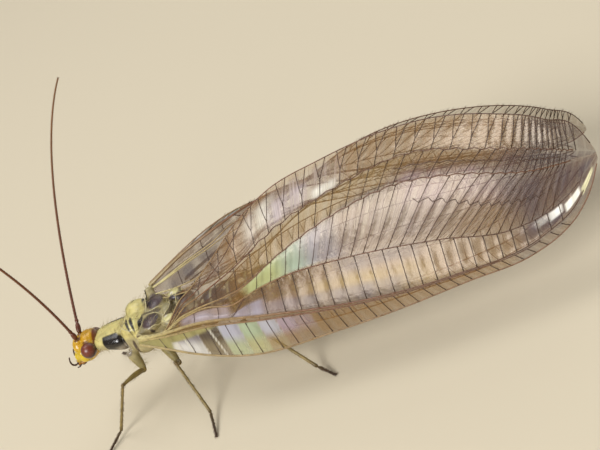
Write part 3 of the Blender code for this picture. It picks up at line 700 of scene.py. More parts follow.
def costal_tint(wing, u, row, base):
    """Colours the cells before the subcosta one by one, each from an upper to a lower tone.

    The innermost ones have painted sheen in fine pale streaks, and an olive wedge at the wing's root.
    """
    cell = cell_number(wing, u, row) - FIRST_COSTAL_CELL
    inside = (1 - ramp(.84, .90, row)) * (wing["name"] == "forewing")
    for number, (upper, upper_cover, lower, lower_cover) in enumerate(COSTAL_CELLS):
        share = window(number, number + 1, .05, cell) * inside
        tone = mixed(mixed(base, linear(lower, lower_cover), share),
                     linear(upper, upper_cover), share * ramp(.25, .62, row))
        # Painted sheen: fine pale streaks across the innermost cells.
        streak = .5 + .5 * np.sin(9 * cell + 2.2 * row + number)
        share = share * (number < STREAKED_CELLS) * ramp(.96, 1.0, streak)
        base = mixed(tone, linear("#DCD5C2", .85), share)
    wedge = ramp(0, .12, row - .35 - .17 * (u - 1.6)) * (1 - ramp(3.6, 4.6, u))
    wedge = np.maximum(wedge, 1 - ramp(1.6, 1.85, u)) * inside
    return mixed(base, linear("#9C9258", .88), wedge)


def film_tint(wing, u, row):
    """Colour and cover (alpha) of the membrane from the place on the wing, painted sheen included."""
    side = wing["side"]
    base = np.tile(linear("#946A28", wing["cover"][side]), (*u.shape, 1))
    place = u * FOREWING_LENGTH / wing["length"]
    layers = [(patch, wing["patches"][side]) for patch in FILM_PATCHES]
    if (wing["name"], side) == ("forewing", "right"):
        layers += [(patch, 1.0) for patch in FAR_BASE_SHADE_AND_GLINT]
    for seed, ((colour, cover, along, by_row, uneven), strength) in enumerate(layers):
        share = window(*along, place) * window(*by_row, row)
        share = share * np.clip(1 - uneven * (.5 + .5 * wander(1.3 * place, row, seed)) * 1.3, 0, 1)
        base = mixed(base, linear(colour, cover), strength * share)
    base = costal_tint(wing, u, row, base)
    # The film is a little clearer along the rim of each cell.
    cell = cell_number(wing, u, row) % 1
    rim = 1 - window(.12, .88, .10, cell) * window(.10, .90, .08, row % 1)
    base[..., 3] *= 1 - .35 * rim
    return base


def fibre_and_sheen_strength(wing, u, row):
    """How strongly the fine fibres and painted sheen show: outer half, sector to cubitus."""
    place = u * FOREWING_LENGTH / wing["length"]
    return (.55 * window(10.0, 18.2, 1.2, place) * window(2.0, 3.15, .2, row)
            + .55 * window(6.0, 12.0, .8, place) * window(4.0, 4.9, .15, row)
            + .25 * window(9.0, 19.0, 1.5, place) * window(3.1, 4.9, .3, row) + .08)


def make_membrane(wing):
    """The film: two skins a film's thickness apart over the wing's outline, closed at the rim."""
    rows, columns = wing["grid"]
    ease = (1 - np.cos(np.linspace(0, math.pi, rows))) / 2
    along = (.55 * np.linspace(0, 1, rows) + .45 * ease) * (wing["length"] - .02)
    u, row = np.meshgrid(along, np.linspace(0, len(ROWS) - 1, columns), indexing="ij")
    outer = wing_point(wing, u, row, MEMBRANE / 2).reshape(-1, 3)
    inner = wing_point(wing, u, row, -MEMBRANE / 2).reshape(-1, 3)
    quads = sheet_faces(rows, columns)
    index = np.arange(rows * columns).reshape(rows, columns)
    rim = np.concatenate((index[0, :-1], index[:-1, -1], index[-1, :0:-1], index[:0:-1, 0]))
    after = np.roll(rim, -1)
    under = rows * columns
    wall = np.stack((rim, rim + under, after + under, after), axis=-1)
    faces = np.concatenate((quads, quads[:, ::-1] + under, wall))
    if SIDES[wing["side"]] < 0:
        faces = faces[:, ::-1]
    colours = np.tile(film_tint(wing, u, row).reshape(-1, 4), (2, 1))
    fibres = np.tile(fibre_and_sheen_strength(wing, u, row).ravel(), 2)
    lie = np.stack((branch_place(wing, u, row), row), axis=-1).reshape(-1, 2)
    return put_mesh(f"membrane_{wing['name']}_{wing['side']}", np.concatenate((outer, inner)),
                    faces, MATERIALS["membrane"], uv=("lie", np.tile(lie, (2, 1))),
                    colours=colours, values={"fibre_and_sheen": fibres})


def vein_tones(tone):
    """Vein colour from a tone: 0 cream, .5 red-brown, 1 black-brown."""
    stops = np.array([linear(c) for c in ("#C8BA80", "#7A4E30", "#2A180E")])
    tone = np.clip(tone, 0, 1) * 2
    k = np.minimum(tone.astype(int), 1)
    t = (tone - k)[..., None]
    return stops[k] * (1 - t) + stops[k + 1] * t


def sweep_veins(wing, u, row, radius, tone, sides=6):
    """Tubes along (u, row) paths on the wing, kept as paths with their radii and tones."""
    u = np.clip(u, .03, wing["length"] - .03)
    paths = wing_point(wing, u, row)
    outward = wing_frame(wing["side"], u + wing["start"])[3]
    return {"paths": paths, "radius": radius + 0 * u, "tone": tone + 0 * u, "sides": sides,
            "outward": outward, "u": u, "row": row + 0 * u}


def long_vein(wing, row, start, end, radii, tones, steps=200):
    """A vein along the wing at a row number, or at rows given as (u, row) knots."""
    u = np.linspace(start, end, steps)[None]
    rows = smooth_line(row, u) if isinstance(row, tuple) else np.full_like(u, row)
    s = (u - start) / (end - start)
    radius = radii[0] + (radii[1] - radii[0]) * s**.42
    return sweep_veins(wing, u, rows, radius, tones[0] + (tones[1] - tones[0]) * s**.5, sides=8)


def zigzag(wing, row, first, last, radius, tone, height):
    """A pseudo-vein: it steps up and down by height between one branch and the next."""
    number = np.linspace(first, last, int(last - first) * 6 + 1)[None]
    start = station(wing, number)
    rows = smooth_line(row, start) if isinstance(row, tuple) else np.full_like(start, row)
    step = np.abs((number % 1) * 2 - 1)
    rows = rows + height * (step - .5)
    return sweep_veins(wing, start + lean(wing, start, rows), rows, radius, tone, sides=6)


def jittered(wing, first, last, spread):
    """Branch numbers from first to last, each a little off its even place."""
    numbers = np.arange(first, last, 1.0)
    return numbers + wing["draw"].uniform(-spread, spread, len(numbers))


def cross_veins(wing, rows, numbers, radius, tone, knots=8):
    """Short veins between two rows at branch numbers, following the lean of the branches."""
    t = np.linspace(0, 1, knots)[None]
    row = rows[0] + (rows[1] - rows[0]) * t + 0 * numbers[:, None]
    spacing = LADDER_SPACING if max(rows) <= 2 else BRANCH_SPACING
    start = station(wing, numbers, spacing)[:, None] + 0 * t
    ends = .8 + .35 * (2 * t - 1) ** 2
    return sweep_veins(wing, start + lean(wing, start, row), row, radius * ends, tone, sides=5)


def forks(wing, numbers, radius, tone):
    """Marginal veins: from the cubitus row a stem that splits in two before the hind margin."""
    split = .42 + wing["draw"].uniform(-.12, .12, len(numbers))[:, None]
    t = np.linspace(0, 1, 8)[None]
    beyond = np.clip((t - split) / (1 - split), 0, 1)
    made = []
    for spread in (-.25, .25):
        start = station(wing, numbers[:, None] + spread * beyond**.7)
        row = 4 + t + 0 * start
        made.append(sweep_veins(wing, start + lean(wing, start, row), row, radius, tone, 5))
    return made


def forewing_veins(wing):
    """Costa, subcosta, radius, sector with its branches, media, cubitus and the crossveins."""
    end = wing["length"] - .12
    last = station_number(wing, 19.3)
    ladder_end = station_number(wing, 19.6, LADDER_SPACING)
    # Painted shade: the far wing's costa, subcosta and radius are painted browner at the base.
    stem = {"left": 0.0, "right": .24}[wing["side"]]    # the far wing's stem is the browner one
    return [
        long_vein(wing, 0.02, .05, end, (.070, .022), (.14 + stem, .50)),
        long_vein(wing, ((0, .75), (3, .84), (15, .86), (21, .8)), .05, 18.2, (.060, .018),
                  (.02 + stem, .75)),
        long_vein(wing, 1.0, .05, 20.3, (.100, .018), (-.1 + stem, .82)),
        long_vein(wing, ((4.85, 1.0), (5.1, 1.45), (5.4, 1.86), (5.85, 2.0), (7, 2.0)),
                  4.9, 5.9, (.026, .028), (.95, .8), steps=30),
        long_vein(wing, 2.0, 5.75, 20.2, (.034, .019), (.25, .85)),
        long_vein(wing, ((0, 2.9), (2.7, 2.69), (4.05, 2.73), (5.0, 2.35), (5.9, 2.02), (7, 2)),
                  .1, 5.95, (.055, .032), (-.25, .45), steps=80),
        long_vein(wing, 3.0, .2, 7.0, (.045, .030), (-.25, .50), steps=80),
        zigzag(wing, 3.0, 0, last, .024, .62, .04),
        long_vein(wing, 4.0, .2, 6.8, (.040, .026), (-.25, .70), steps=80),
        zigzag(wing, 4.0, 0, last, .021, .70, .08),
        long_vein(wing, ((0, 4.35), (3, 4.40), (5.5, 4.6), (7.0, 4.95)), .2, 7.0,
                  (.034, .018), (-.15, .85)),
        long_vein(wing, ((0, 4.7), (2, 4.75), (3.6, 4.95)), .2, 3.6,
                  (.028, .018), (-.1, .85), steps=60),
        long_vein(wing, 4.985, .2, end, (.030, .020), (.0, .85)),
        zigzag(wing, ((10, 2.80), (13, 2.66), (15, 2.52), (18, 2.42)), 11, last - 2, .018, .88, .07),
        zigzag(wing, ((10, 3.55), (15, 3.50), (18, 3.45)), 9, last - 2, .017, .85, .07),
        cross_veins(wing, (.86, .02), jittered(wing, -4.4, ladder_end, .06), .021, .94),
        cross_veins(wing, (1.0, 2.0), jittered(wing, .9, ladder_end, .05), .021, .94),
        cross_veins(wing, (2.0, 3.0), jittered(wing, .6, last, .04), .018, .88),
        cross_veins(wing, (3.0, 4.0), jittered(wing, -3.6, last, .04), .019, .92),
        cross_veins(wing, (1.0, 2.6), np.array((-2.6, -1.6)), .019, .88),
        *forks(wing, jittered(wing, -4.3, last + .6, .05), .017, .90),
    ]


def hindwing_veins(wing):
    """The same plan as the forewing's with fewer cells."""
    end = wing["length"] - .12
    last = station_number(wing, wing["length"] * .91)
    ladder_end = station_number(wing, wing["length"] * .93, LADDER_SPACING)
    return [
        long_vein(wing, 0.02, .05, end, (.050, .020), (.15, .55)),
        long_vein(wing, 1.0, .05, end, (.062, .022), (.0, .70)),
        long_vein(wing, 2.0, 3.4, end - .4, (.028, .018), (.3, .8)),
        long_vein(wing, 3.0, .3, end - .8, (.032, .017), (.3, .8)),
        long_vein(wing, 4.0, .3, end - 1.2, (.030, .017), (.4, .85)),
        long_vein(wing, 4.98, .3, end, (.026, .018), (.5, .85)),
        cross_veins(wing, (1.0, .02), jittered(wing, -2.4, ladder_end, .06), .016, .9),
        cross_veins(wing, (1.0, 2.0), jittered(wing, .5, ladder_end, .06), .016, .88),
        cross_veins(wing, (2.0, 3.0), jittered(wing, .2, last, .05), .015, .85),
        cross_veins(wing, (3.0, 4.0), jittered(wing, -2.5, last, .05), .015, .88),
        *forks(wing, jittered(wing, -2.6, last + .5, .05), .014, .86),
    ]


def vein_mesh(wing, veins):
    """All the veins of one wing as one mesh."""
    shapes = [tubes(vein["paths"], vein["radius"], vein["sides"], vein["outward"]) for vein in veins]
    tones = [around(vein["tone"], vein["sides"]) for vein in veins]
    points, faces = joined(*shapes)
    return put_mesh(f"veins_{wing['name']}_{wing['side']}", points, faces, MATERIALS["vein"],
                    colours=vein_tones(np.concatenate(tones)))


def vein_hairs(wing, veins):
    """Short hairs along every vein, leaning tipwards, at even chances by length."""
    def steps(key, part=slice(None, -1)):
        """One value for each step of every vein, by default from where the step starts."""
        return np.concatenate([vein[key][:, part].reshape(-1, *vein[key].shape[2:])
                               for vein in veins])

    starts, ends, outward = steps("paths"), steps("paths", slice(1, None)), steps("outward")
    places = on_map(steps("u") / wing["length"], steps("row") / (len(ROWS) - 1))
    lengths = np.linalg.norm(ends - starts, axis=-1)
    draw = wing["draw"]
    count = int(lengths.sum() / wing["hair_step"])
    pick = draw.choice(len(lengths), count, p=lengths / lengths.sum())
    share = draw.uniform(0, 1, count)[:, None]
    roots = (starts[pick] * (1 - share) + ends[pick] * share
             + outward[pick] * steps("radius")[pick, None] * .8)
    along = wing_frame(wing["side"], np.zeros(1))[1]
    ways = unit(outward[pick] * .75 + along * .6 + draw.uniform(-.35, .35, (count, 3)))
    coat = hairs(roots, ways, draw.uniform(.07, .15, count), .0055, along * .25, places[pick])
    return put_hairs(f"hairs_{wing['name']}_{wing['side']}", *coat, "#5A3C22")


def far_lines(lines):
    """The forewing's lines with the rows behind the radius spread evenly down to FAR_HIND_BASE."""
    spread = dict(lines)
    for name, share, joins in (("sector", .12, 3.3), ("media", .3, 3.3), ("cubitus", .6, 5.0),
                               ("hind", 1.0, 5.0)):
        outer = tuple(knot for knot in lines[name] if knot[0] > joins)
        base = tuple((u, -.15 + share * (v + .15)) for u, v in FAR_HIND_BASE if u < joins)
        spread[name] = base + outer
    return spread


def make_wings():
    """Both pairs of wings: a film with its veins and hairs, in place of each solid wing."""
    for side in SIDES:
        for name, plan in WINGS.items():
            wing = {**plan, "name": name, "side": side, "draw": np.random.default_rng(plan["seed"])}
            if (name, side) == ("forewing", "right"):
                wing["lines"] = far_lines(plan["lines"])
            veins = (forewing_veins if name == "forewing" else hindwing_veins)(wing)
            for piece in (make_membrane(wing), vein_mesh(wing, veins), vein_hairs(wing, veins)):
                dress(piece, "wing_membrane", f"{name}_{side}")


# ---------------------------------------------------------------- body

def on_head(points):
    """Places on the level head, tilted with it: roll, then pitch, then yaw, about the pivot."""
    tilt = (turned("Z", HEAD_TILT["yaw"]) @ turned("X", HEAD_TILT["pitch"])
            @ turned("Y", HEAD_TILT["roll"]))
    return (np.asarray(points, float) - HEAD_PIVOT) @ tilt.T + HEAD_PIVOT


def loft(sections, squareness=2.3, rows=60, columns=40):
    """A trunk piece: superellipse sections (y, half width, lowest z, highest z), smoothly joined."""
    s = np.linspace(0, 1, rows)
    y, half_width, low, high = (smooth_line(evenly(column), s) for column in zip(*sections))
    turn = np.arange(columns) * TAU / columns
    across = np.sign(np.cos(turn)) * np.abs(np.cos(turn)) ** (2 / squareness)
    up = np.sign(np.sin(turn)) * np.abs(np.sin(turn)) ** (2 / squareness)
    cap = np.sqrt(np.clip(1 - (2 * s - 1) ** 12, 0, 1))[:, None]
    x = half_width[:, None] * across * cap
    z = ((low + high) / 2)[:, None] + ((high - low) / 2)[:, None] * up * cap
    points = np.stack((x, y[:, None] + 0 * x, z), axis=-1).reshape(-1, 3)
    return points, as_triangles(sheet_faces(rows, columns, wrap=True)[:, ::-1])


def both(centre, size, pitch=0.0):
    """The same lump on the left and on the right."""
    return [lump((side * centre[0], *centre[1:]), size, pitch) for side in SIDES.values()]


def abdomen_shape():
    """Rings along the abdomen: radius swells to each ring's hind edge, and the axis arches."""
    t = np.linspace(0, 1, 220)
    ring = (t * ABDOMEN["rings"]) % 1
    swell = .74 + .26 * np.sin(math.pi * np.minimum(t * 1.25, 1)) ** .8 - .30 * t**3
    radius = ABDOMEN["radius"] * swell * (.90 + .10 * np.sin(math.pi * ring**1.5) ** .6)
    radius = radius * np.sqrt(np.clip(1 - (2 * t - 1) ** 16, 0, 1))
    middle = 3.12 + .9 * t - 1.25 * t**2
    path = np.stack((0 * t, ABDOMEN["start"] + ABDOMEN["length"] * t, middle), axis=-1)
    return tube(path, radius, 36)


def head_parts():
    """The closed forms of the level head: capsule, vertex, face, cheeks, sockets and lip."""
    return [
        lump((0, -3.30, 3.56), (.64, .56, .58), -12),
        lump((0, -3.20, 3.94), (.54, .45, .36)),
        lump((0, -3.00, 3.77), (.54, .26, .54)),
        lump((0, -3.73, 3.60), (.46, .31, .50), 12),
        lump((0, -3.93, 3.22), (.36, .26, .28), 18),
        lump((0, -4.08, 3.01), (.24, .14, .14)),
        lump((0, -3.52, 3.14), (.44, .42, .28)),
        tube([(0, -3.2, 3.5), (0, -2.8, 3.52), (0, -2.25, 3.56)], [.40, .36, .42], 24),
        *both((.38, -3.58, 3.34), (.24, .30, .36), 14),
        *both((.50, -3.15, 3.63), (.26, .37, .38)),
        *both((.30, -3.60, 4.04), (.18, .19, .15)),
    ]


# How far the skin's coxae start from the legs' first joints, and how stout they are.
COXA_SHIFT = {"fore": (0, .24, .04), "mid": (0, 0, 0), "hind": (0, 0, 0)}
COXA_STOUT = {"fore": .80, "mid": .74, "hind": .90}
HINGE_RADII = {"left": (.28, .20, .14, .07), "right": (.36, .32, .22, .09)}   # the right is raised


def trunk_parts():
    """The closed forms of thorax and abdomen."""
    parts = [
        loft(((-2.90, .46, 3.36, 3.84), (-2.62, .70, 3.30, 3.97), (-2.2, .80, 3.24, 4.02),
              (-1.75, .90, 3.08, 4.02), (-1.20, .98, 2.86, 4.02)), squareness=2.6),
        loft(((-1.34, .80, 2.80, 3.98), (-1.05, 1.00, 2.70, 4.14), (-.60, 1.08, 2.62, 4.18),
              (-.10, 1.15, 2.54, 4.06), (.45, 1.15, 2.48, 4.02), (.90, 1.00, 2.50, 3.92),
              (1.20, .88, 2.52, 3.82)), squareness=2.7),
        loft(((1.05, .84, 2.56, 3.70), (1.8, .80, 2.50, 3.70), (2.35, .62, 2.56, 3.60))),
        lump((0, 1.02, 3.84), (.40, .30, .24)),
        lump((0, 2.35, 3.10), (.55, .50, .48)),
        abdomen_shape(),
        lump((.56, -.64, 4.00), (.46, .54, .28)),
        lump((-.72, -.58, 4.07), (.46, .60, .32)),
        *both((.67, .38, 3.90), (.56, .46, .28)),
        *both((.48, 1.72, 3.60), (.40, .42, .25)),
        *both((.90, 1.30, 3.85), (.38, .42, .22)),
        *both((1.00, 1.46, 3.62), (.30, .38, .14)),
        *both((1.10, -.16, 3.86), (.30, .30, .22)),
        *both((1.05, 1.75, 3.35), (.34, .26, .26)),
        *both((.92, -.40, 3.20), (.32, .52, .50)),
        *both((.90, .70, 3.05), (.34, .46, .52)),
    ]
    for label, side in SIDES.items():
        root = np.array(WING_POSE[label]["root"]) * (side, 1, 1)
        hinge = [(side * .85, .25, 3.72), (side * 1.22, .12, 3.86), root + (-.14 * side, 0, -.06),
                 root + (-.02 * side, .22, .0)]
        parts.append(tube(hinge, HINGE_RADII[label], 14))
    for leg, joints in LEG_JOINTS.items():
        pair = leg.split("_")[0]
        top, end = np.array(joints[0]) + COXA_SHIFT[pair], np.array(joints[1])
        inward = top + (top - end) * .55 * (.6, 1, 1)
        radii = np.array((.33, .33, .26, .17)) * COXA_STOUT[pair]
        parts.append(tube([inward, top, (top + end) / 2, end], radii, 14))
    return parts


def skin_over(parts, voxel, smoothing):
    """One closed skin over overlapping forms: a voxel remesh, then smoothing. Millimetres."""
    points, faces = joined(*parts)
    mesh = bpy.data.meshes.new("forms")
    mesh.from_pydata(points.tolist(), [], faces.tolist())
    item = bpy.data.objects.new("forms", mesh)
    bpy.context.scene.collection.objects.link(item)
    remesh = item.modifiers.new("skin", "REMESH")
    remesh.mode = "VOXEL"
    remesh.voxel_size = voxel
    relax = item.modifiers.new("relax", "SMOOTH")
    relax.factor = .5
    relax.iterations = smoothing
    graph = bpy.context.evaluated_depsgraph_get()
    made = bpy.data.meshes.new_from_object(item.evaluated_get(graph))
    bpy.data.objects.remove(item, do_unlink=True)
    spots = np.empty(len(made.vertices) * 3, np.float32)
    made.vertices.foreach_get("co", spots)
    corners = np.empty(len(made.loops), np.int32)
    made.loops.foreach_get("vertex_index", corners)
    bpy.data.meshes.remove(made)
    return spots.reshape(-1, 3).astype(float), corners.reshape(-1, 4)


def spot(points, centre, size):
    """1 inside an ellipsoid about centre, falling to 0 at 1.2 of its size."""
    far = np.linalg.norm((points - np.array(centre)) / np.array(size), axis=-1)
    return 1 - ramp(.85, 1.2, far)


def head_tint(points):
    """The level head's colours: orange vertex, yellow face, dark rim behind and at the sockets."""
    x, y, z = np.abs(points[:, 0]), points[:, 1], points[:, 2]
    mirrored = np.stack((x, y, z), axis=-1)
    return painted(
        points, "#CFA012",
        ("#C8960E", ramp(3.72, 4.02, z) * ramp(-3.72, -3.3, y)),
        ("#D6B826", (1 - ramp(3.4, 3.8, z)) * (1 - ramp(-3.5, -3.2, y))),
        ("#B88A1E", spot(mirrored, (0, -4.13, 2.98), (.3, .16, .12))),
        ("#8A4A10", spot(mirrored, (0, -4.07, 3.10), (.34, .2, .022))),
        ("#8A4E10", .8 * spot(mirrored, (0, -3.74, 3.86), (.04, .2, .30))),
        ("#7A3408", window(-2.88, -2.72, .03, y) * ramp(3.55, 3.7, z)),
        ("#5E2208", .85 * spot(mirrored, (.30, -3.62, 4.16), (.21, .21, .08))),
        ("#5A2410", .8 * spot(mirrored, (.52, -3.20, 3.96), (.10, .16, .08))),
        ("#B9AC62", ramp(-2.74, -2.68, y)),
    )


def dark_plate(points):
    """1 on the polished black plate on the side of the prothorax: a lens that dips rearwards."""
    x, y, z = np.abs(points[:, 0]), points[:, 1] + 1.68, points[:, 2] - 3.55
    length = (y - z) / math.sqrt(2) / .80
    width = (y + z) / math.sqrt(2) / (.50 + .10 * length)
    return (1 - ramp(.84, 1.02, length**2 + np.abs(width) ** 1.25)) * ramp(.40, .52, x)


# Streaks across the shoulder lobes and marks on the back and sides: colour, place and half size
# on the left half.
STREAKS = (
    ("#1C1410", (.54, -.80, 4.10), (.50, .070, .60)),
    ("#E0D68C", (.58, -.68, 4.10), (.54, .036, .60)),
    ("#1C1410", (.60, -.57, 4.10), (.54, .080, .60)),
    ("#E0D68C", (.60, -.42, 4.10), (.52, .060, .60)),
    ("#1C1410", (.54, -.14, 4.10), (.54, .075, .60)),
)
MARKS = (
    ("#6C6048", (0, .40, 4.05), (.16, .55, .30)),
    ("#453234", (.68, .38, 4.12), (.52, .42, .40)),
    ("#2C2028", (.52, .20, 4.05), (.20, .16, .30)),
    ("#665650", (.86, .56, 4.05), (.22, .16, .30)),
    ("#7C6E54", (.50, 1.60, 3.90), (.90, .60, .30)),
    ("#3A2C30", (.52, 1.78, 3.86), (.40, .26, .24)),
    ("#9A9068", (0, 1.02, 4.05), (.32, .22, .20)),
    ("#D2C98C", (.92, 1.28, 4.08), (.27, .30, .16)),
    ("#EAE2CC", (.80, 1.22, 4.14), (.12, .14, .12)),
    ("#33262A", (.60, 1.30, 3.95), (.08, .22, .20)),
    ("#3A2A1E", (1.14, .46, 3.78), (.26, .08, .16)),
    ("#4A3826", (1.12, -.70, 3.30), (.2, .10, .34)),
    ("#4A3826", (1.16, .30, 3.10), (.2, .09, .40)),
    ("#2A1C14", (1.0, -1.14, 3.60), (.3, .05, .26)),
)
STREAKS_FURTHER_OUT = .62       # on the raised right side
STREAK_SLANT = .40              # rearwards for each mm outwards


def trunk_tint(points):
    """The body's colours from the place on it: yellow ground, brown and black marks."""
    x, y, z = np.abs(points[:, 0]), points[:, 1], points[:, 2]
    mirrored = np.stack((x, y, z), axis=-1)
    further = np.where(points[:, 0] > 0, 0, STREAKS_FURTHER_OUT)
    slant = STREAK_SLANT * (x - further - .45) * (1 - ramp(-.45, -.20, y))
    streaked = mirrored - np.stack((further, slant, 0 * x), axis=-1)
    plate = dark_plate(points)
    belly = ramp(2.2, 2.6, y)
    ring = ((y - ABDOMEN["start"]) / ABDOMEN["length"] * ABDOMEN["rings"]) % 1
    fleck = np.sin(9 * x + 2) * np.sin(7.3 * y) * np.sin(11 * z + 1)
    return painted(
        points, "#A89B70",
        ("#8E8050", 1 - ramp(2.5, 3.1, z)),
        ("#CEC07A", (1 - ramp(-.2, -.05, y)) * ramp(3.6, 3.9, z)),
        ("#160E09", plate),
        ("#9A8E7C", .85 * plate * ramp(-1.95, -1.5, y) * (1 - ramp(3.38, 3.60, z))),
        *[(tone, spot(streaked, centre, size)) for tone, centre, size in STREAKS],
        *[(tone, spot(mirrored, centre, size)) for tone, centre, size in MARKS],
        ("#40301F", belly * ramp(2.75, 3.3, z)),
        ("#8A7A4C", belly * (1 - ramp(2.6, 2.9, z))),
        ("#C9BF8A", belly * window(.86, .99, .04, ring) * .8),
        ("#D6CC9C", belly * ramp(.35, .6, fleck) * ramp(3.1, 3.4, z)),
    )


# Raised seams on the back, on the left half: knots (x, y) and half thickness.
SEAMS = {
    "prescutum": (((.06, .00), (.35, -.02), (.68, -.02), (.98, -.10)), .028),
    "scutum_inner": (((.10, .02), (.14, .40), (.28, .78)), .024),
    "scutum_rear": (((.14, .86), (.52, .92), (.96, .82), (1.20, .48)), .026),
    "scutellum": (((.00, 1.26), (.22, 1.20), (.40, 1.02), (.44, .86)), .024),
    "axilla": (((.74, 1.16), (.98, 1.10), (1.22, 1.32), (1.16, 1.62), (.86, 1.70)), .034),
    "metascutum": (((.06, 1.42), (.34, 1.40), (.74, 1.50), (.86, 1.86)), .024),
    "shoulder": (((.10, -1.04), (.48, -1.02), (.80, -.90), (1.00, -.62)), .028),
    "pronotum_rear": (((.05, -1.24), (.40, -1.24), (.74, -1.22)), .022),
}
SEAM_STEPS = 24


def make_seams(trunk):
    """Cream cords along the borders of the back's plates, laid on the skin's highest points."""
    shapes = []
    for side in SIDES.values():
        for knots, thickness in SEAMS.values():
            flat = [(side * x, y, 0) for x, y in knots]
            path = smooth_path(flat, np.linspace(0, 1, SEAM_STEPS))
            near = ((path[:, None, :2] - trunk[None, :, :2]) ** 2).sum(-1) < .05**2
            top = np.where(near, trunk[None, :, 2], -9).max(axis=1)
            level = np.convolve(np.pad(top, 2, mode="edge"), np.ones(5) / 5, mode="valid")
            path[:, 2] = level - thickness * .35
            radius = thickness * np.sqrt(np.clip(1 - np.linspace(-1, 1, SEAM_STEPS) ** 8, .02, 1))
            shapes.append(tube(path, radius, 10))
    points, faces = joined(*shapes)
    seams = put_mesh("thorax_seams", points, faces, MATERIALS["skin"],
                     colours=painted(points, "#C4B98A"), values={"gloss": .3 + 0 * points[:, 0]})
    dress(seams, "pale_yellow")


def make_body():
    """Head, neck, thorax, abdomen and coxae under one skin, with its hairs."""
    head, head_quads = skin_over(head_parts(), voxel=.024, smoothing=5)
    trunk, trunk_quads = skin_over(trunk_parts(), voxel=.040, smoothing=9)
    points, quads = joined((on_head(head), head_quads), (trunk, trunk_quads))
    colours = np.concatenate((head_tint(head), trunk_tint(trunk)))
    gloss = np.concatenate((.35 + 0 * head[:, 0], dark_plate(trunk)))
    body = put_mesh("body_skin", points, quads, MATERIALS["skin"], colours=colours,
                    values={"gloss": gloss})
    dress(body, "thorax_yellow", "head", "prothorax", "mesothorax", "metathorax", "abdomen",
          *[f"coxa_{leg}" for leg in LEG_JOINTS])
    make_seams(trunk)
    chance = 1.0 - .9 * gloss
    chance[:len(head)] = .12
    dress(skin_hairs(points, quads, np.maximum(chance, 0)), "thorax_yellow")


def skin_hairs(points, quads, chance):
    """Pale hairs on the body: roots at random points of the skin where the chance allows."""
    draw = np.random.default_rng(5)
    count = 2600
    ways = normals_of(points, quads)
    pick = draw.choice(len(points), count, p=chance / chance.sum())
    roots = points[pick] - ways[pick] * .01
    lean_back = np.array((0, .45, 0))
    ways = unit(ways[pick] + draw.uniform(-.35, .35, (count, 3)) + lean_back)
    places = on_map(np.arctan2(roots[:, 0], roots[:, 2] - 3.2) / TAU + .5, (roots[:, 1] + 5) / 16)
    coat = hairs(roots, ways, draw.uniform(.14, .34, count), .0065, lean_back * .6, places)
    return put_hairs("body_hairs", *coat, "#B9A878")


def make_eyes():
    """Compound eyes: polished domes with a hexagonal field of lenses, painted lighter towards the
    light.
    """
    for label, side in SIDES.items():
        centre = np.array(EYES["at"]) * (side, 1, 1)
        points, faces = lump(centre, (EYES["radius"],) * 3, rows=48, columns=64)
        # Painted light: the eye is painted lighter and redder on the side that faces the key light.
        rise = ((points - centre) @ unit(np.array((side * .7, .1, .5)))) / EYES["radius"]
        colours = painted(points, "#3A0A06", ("#7C3012", ramp(.1, .95, rise)))
        eye = put_mesh(f"eye_lens_{label}", on_head(points), faces, MATERIALS["eye"],
                       colours=colours)
        dress(eye, "eye_red", f"eye_{label}")


def antenna_point(spec, t):
    """A place along an antenna: from root to end, bowed by its bend."""
    root, end, bend = on_head(spec["root"]), np.array(spec["end"]), np.array(spec["bend"])
    t = t[..., None]
    return root + (end - root) * t + bend * 4 * t * (1 - t)


def antenna_radius(t):
    """Scape, pedicel, then a flagellum whose radius swells in every ring."""
    ring = (t - FLAGELLUM_START) / (1 - FLAGELLUM_START) * FLAGELLUM_RINGS
    flagellum = (.068 - .030 * t) * (.82 + .18 * np.sin(math.pi * (ring % 1)) ** .6)
    scape = .120 * np.sqrt(np.clip(1 - ((t - .011) / .017) ** 2, 0, 1))
    pedicel = .090 * np.sqrt(np.clip(1 - ((t - .031) / .008) ** 2, 0, 1))
    radius = np.maximum(np.maximum(scape, pedicel), np.where(t > .03, flagellum, .05))
    return radius * np.sqrt(np.clip((1 - t) * 300, 0, 1))


def make_antennae():
    """Scape, pedicel and ringed flagellum as one tube, with a whorl of hairs on every ring."""
    for label, spec in ANTENNAE.items():
        t = np.concatenate((np.linspace(0, FLAGELLUM_START, 40, endpoint=False),
                            np.linspace(FLAGELLUM_START, 1, FLAGELLUM_RINGS * 8)))
        points, faces = tube(antenna_point(spec, t), antenna_radius(t), 12)
        tipwards = around(ramp(0, 1, t)[None], 12)
        piece = put_mesh(f"antenna_ringed_{label}", points, faces, MATERIALS["horn"],
                         colours=painted(points, "#622C0E", ("#8A5A24", tipwards)))
        dress(piece, "horn_brown",
              *[f"antenna_{label}_{part}" for part in ("scape", "lower", "upper")])
        dress(antenna_hairs(spec, label), "horn_brown")


def antenna_hairs(spec, label):
    """Short hairs round the middle of every ring, leaning towards the tip."""
    number, place = np.meshgrid(np.arange(FLAGELLUM_RINGS), np.arange(WHORL), indexing="ij")
    t = (FLAGELLUM_START + (1 - FLAGELLUM_START) * (number + .6) / FLAGELLUM_RINGS).ravel()
    turn = (place * TAU / WHORL + number * .9).ravel()
    way = unit(antenna_point(spec, np.minimum(t + .004, 1)) - antenna_point(spec, t - .004))
    out = spokes(way, turn)
    roots = antenna_point(spec, t) + out * (antenna_radius(t) * .8)[:, None]
    coat = hairs(roots, unit(out * .7 + way), np.full(len(t), .085), .0055, np.zeros(3),
                 on_map(t, turn / TAU % 1))
    return put_hairs(f"antenna_hairs_{label}", *coat, "#4A2C14")


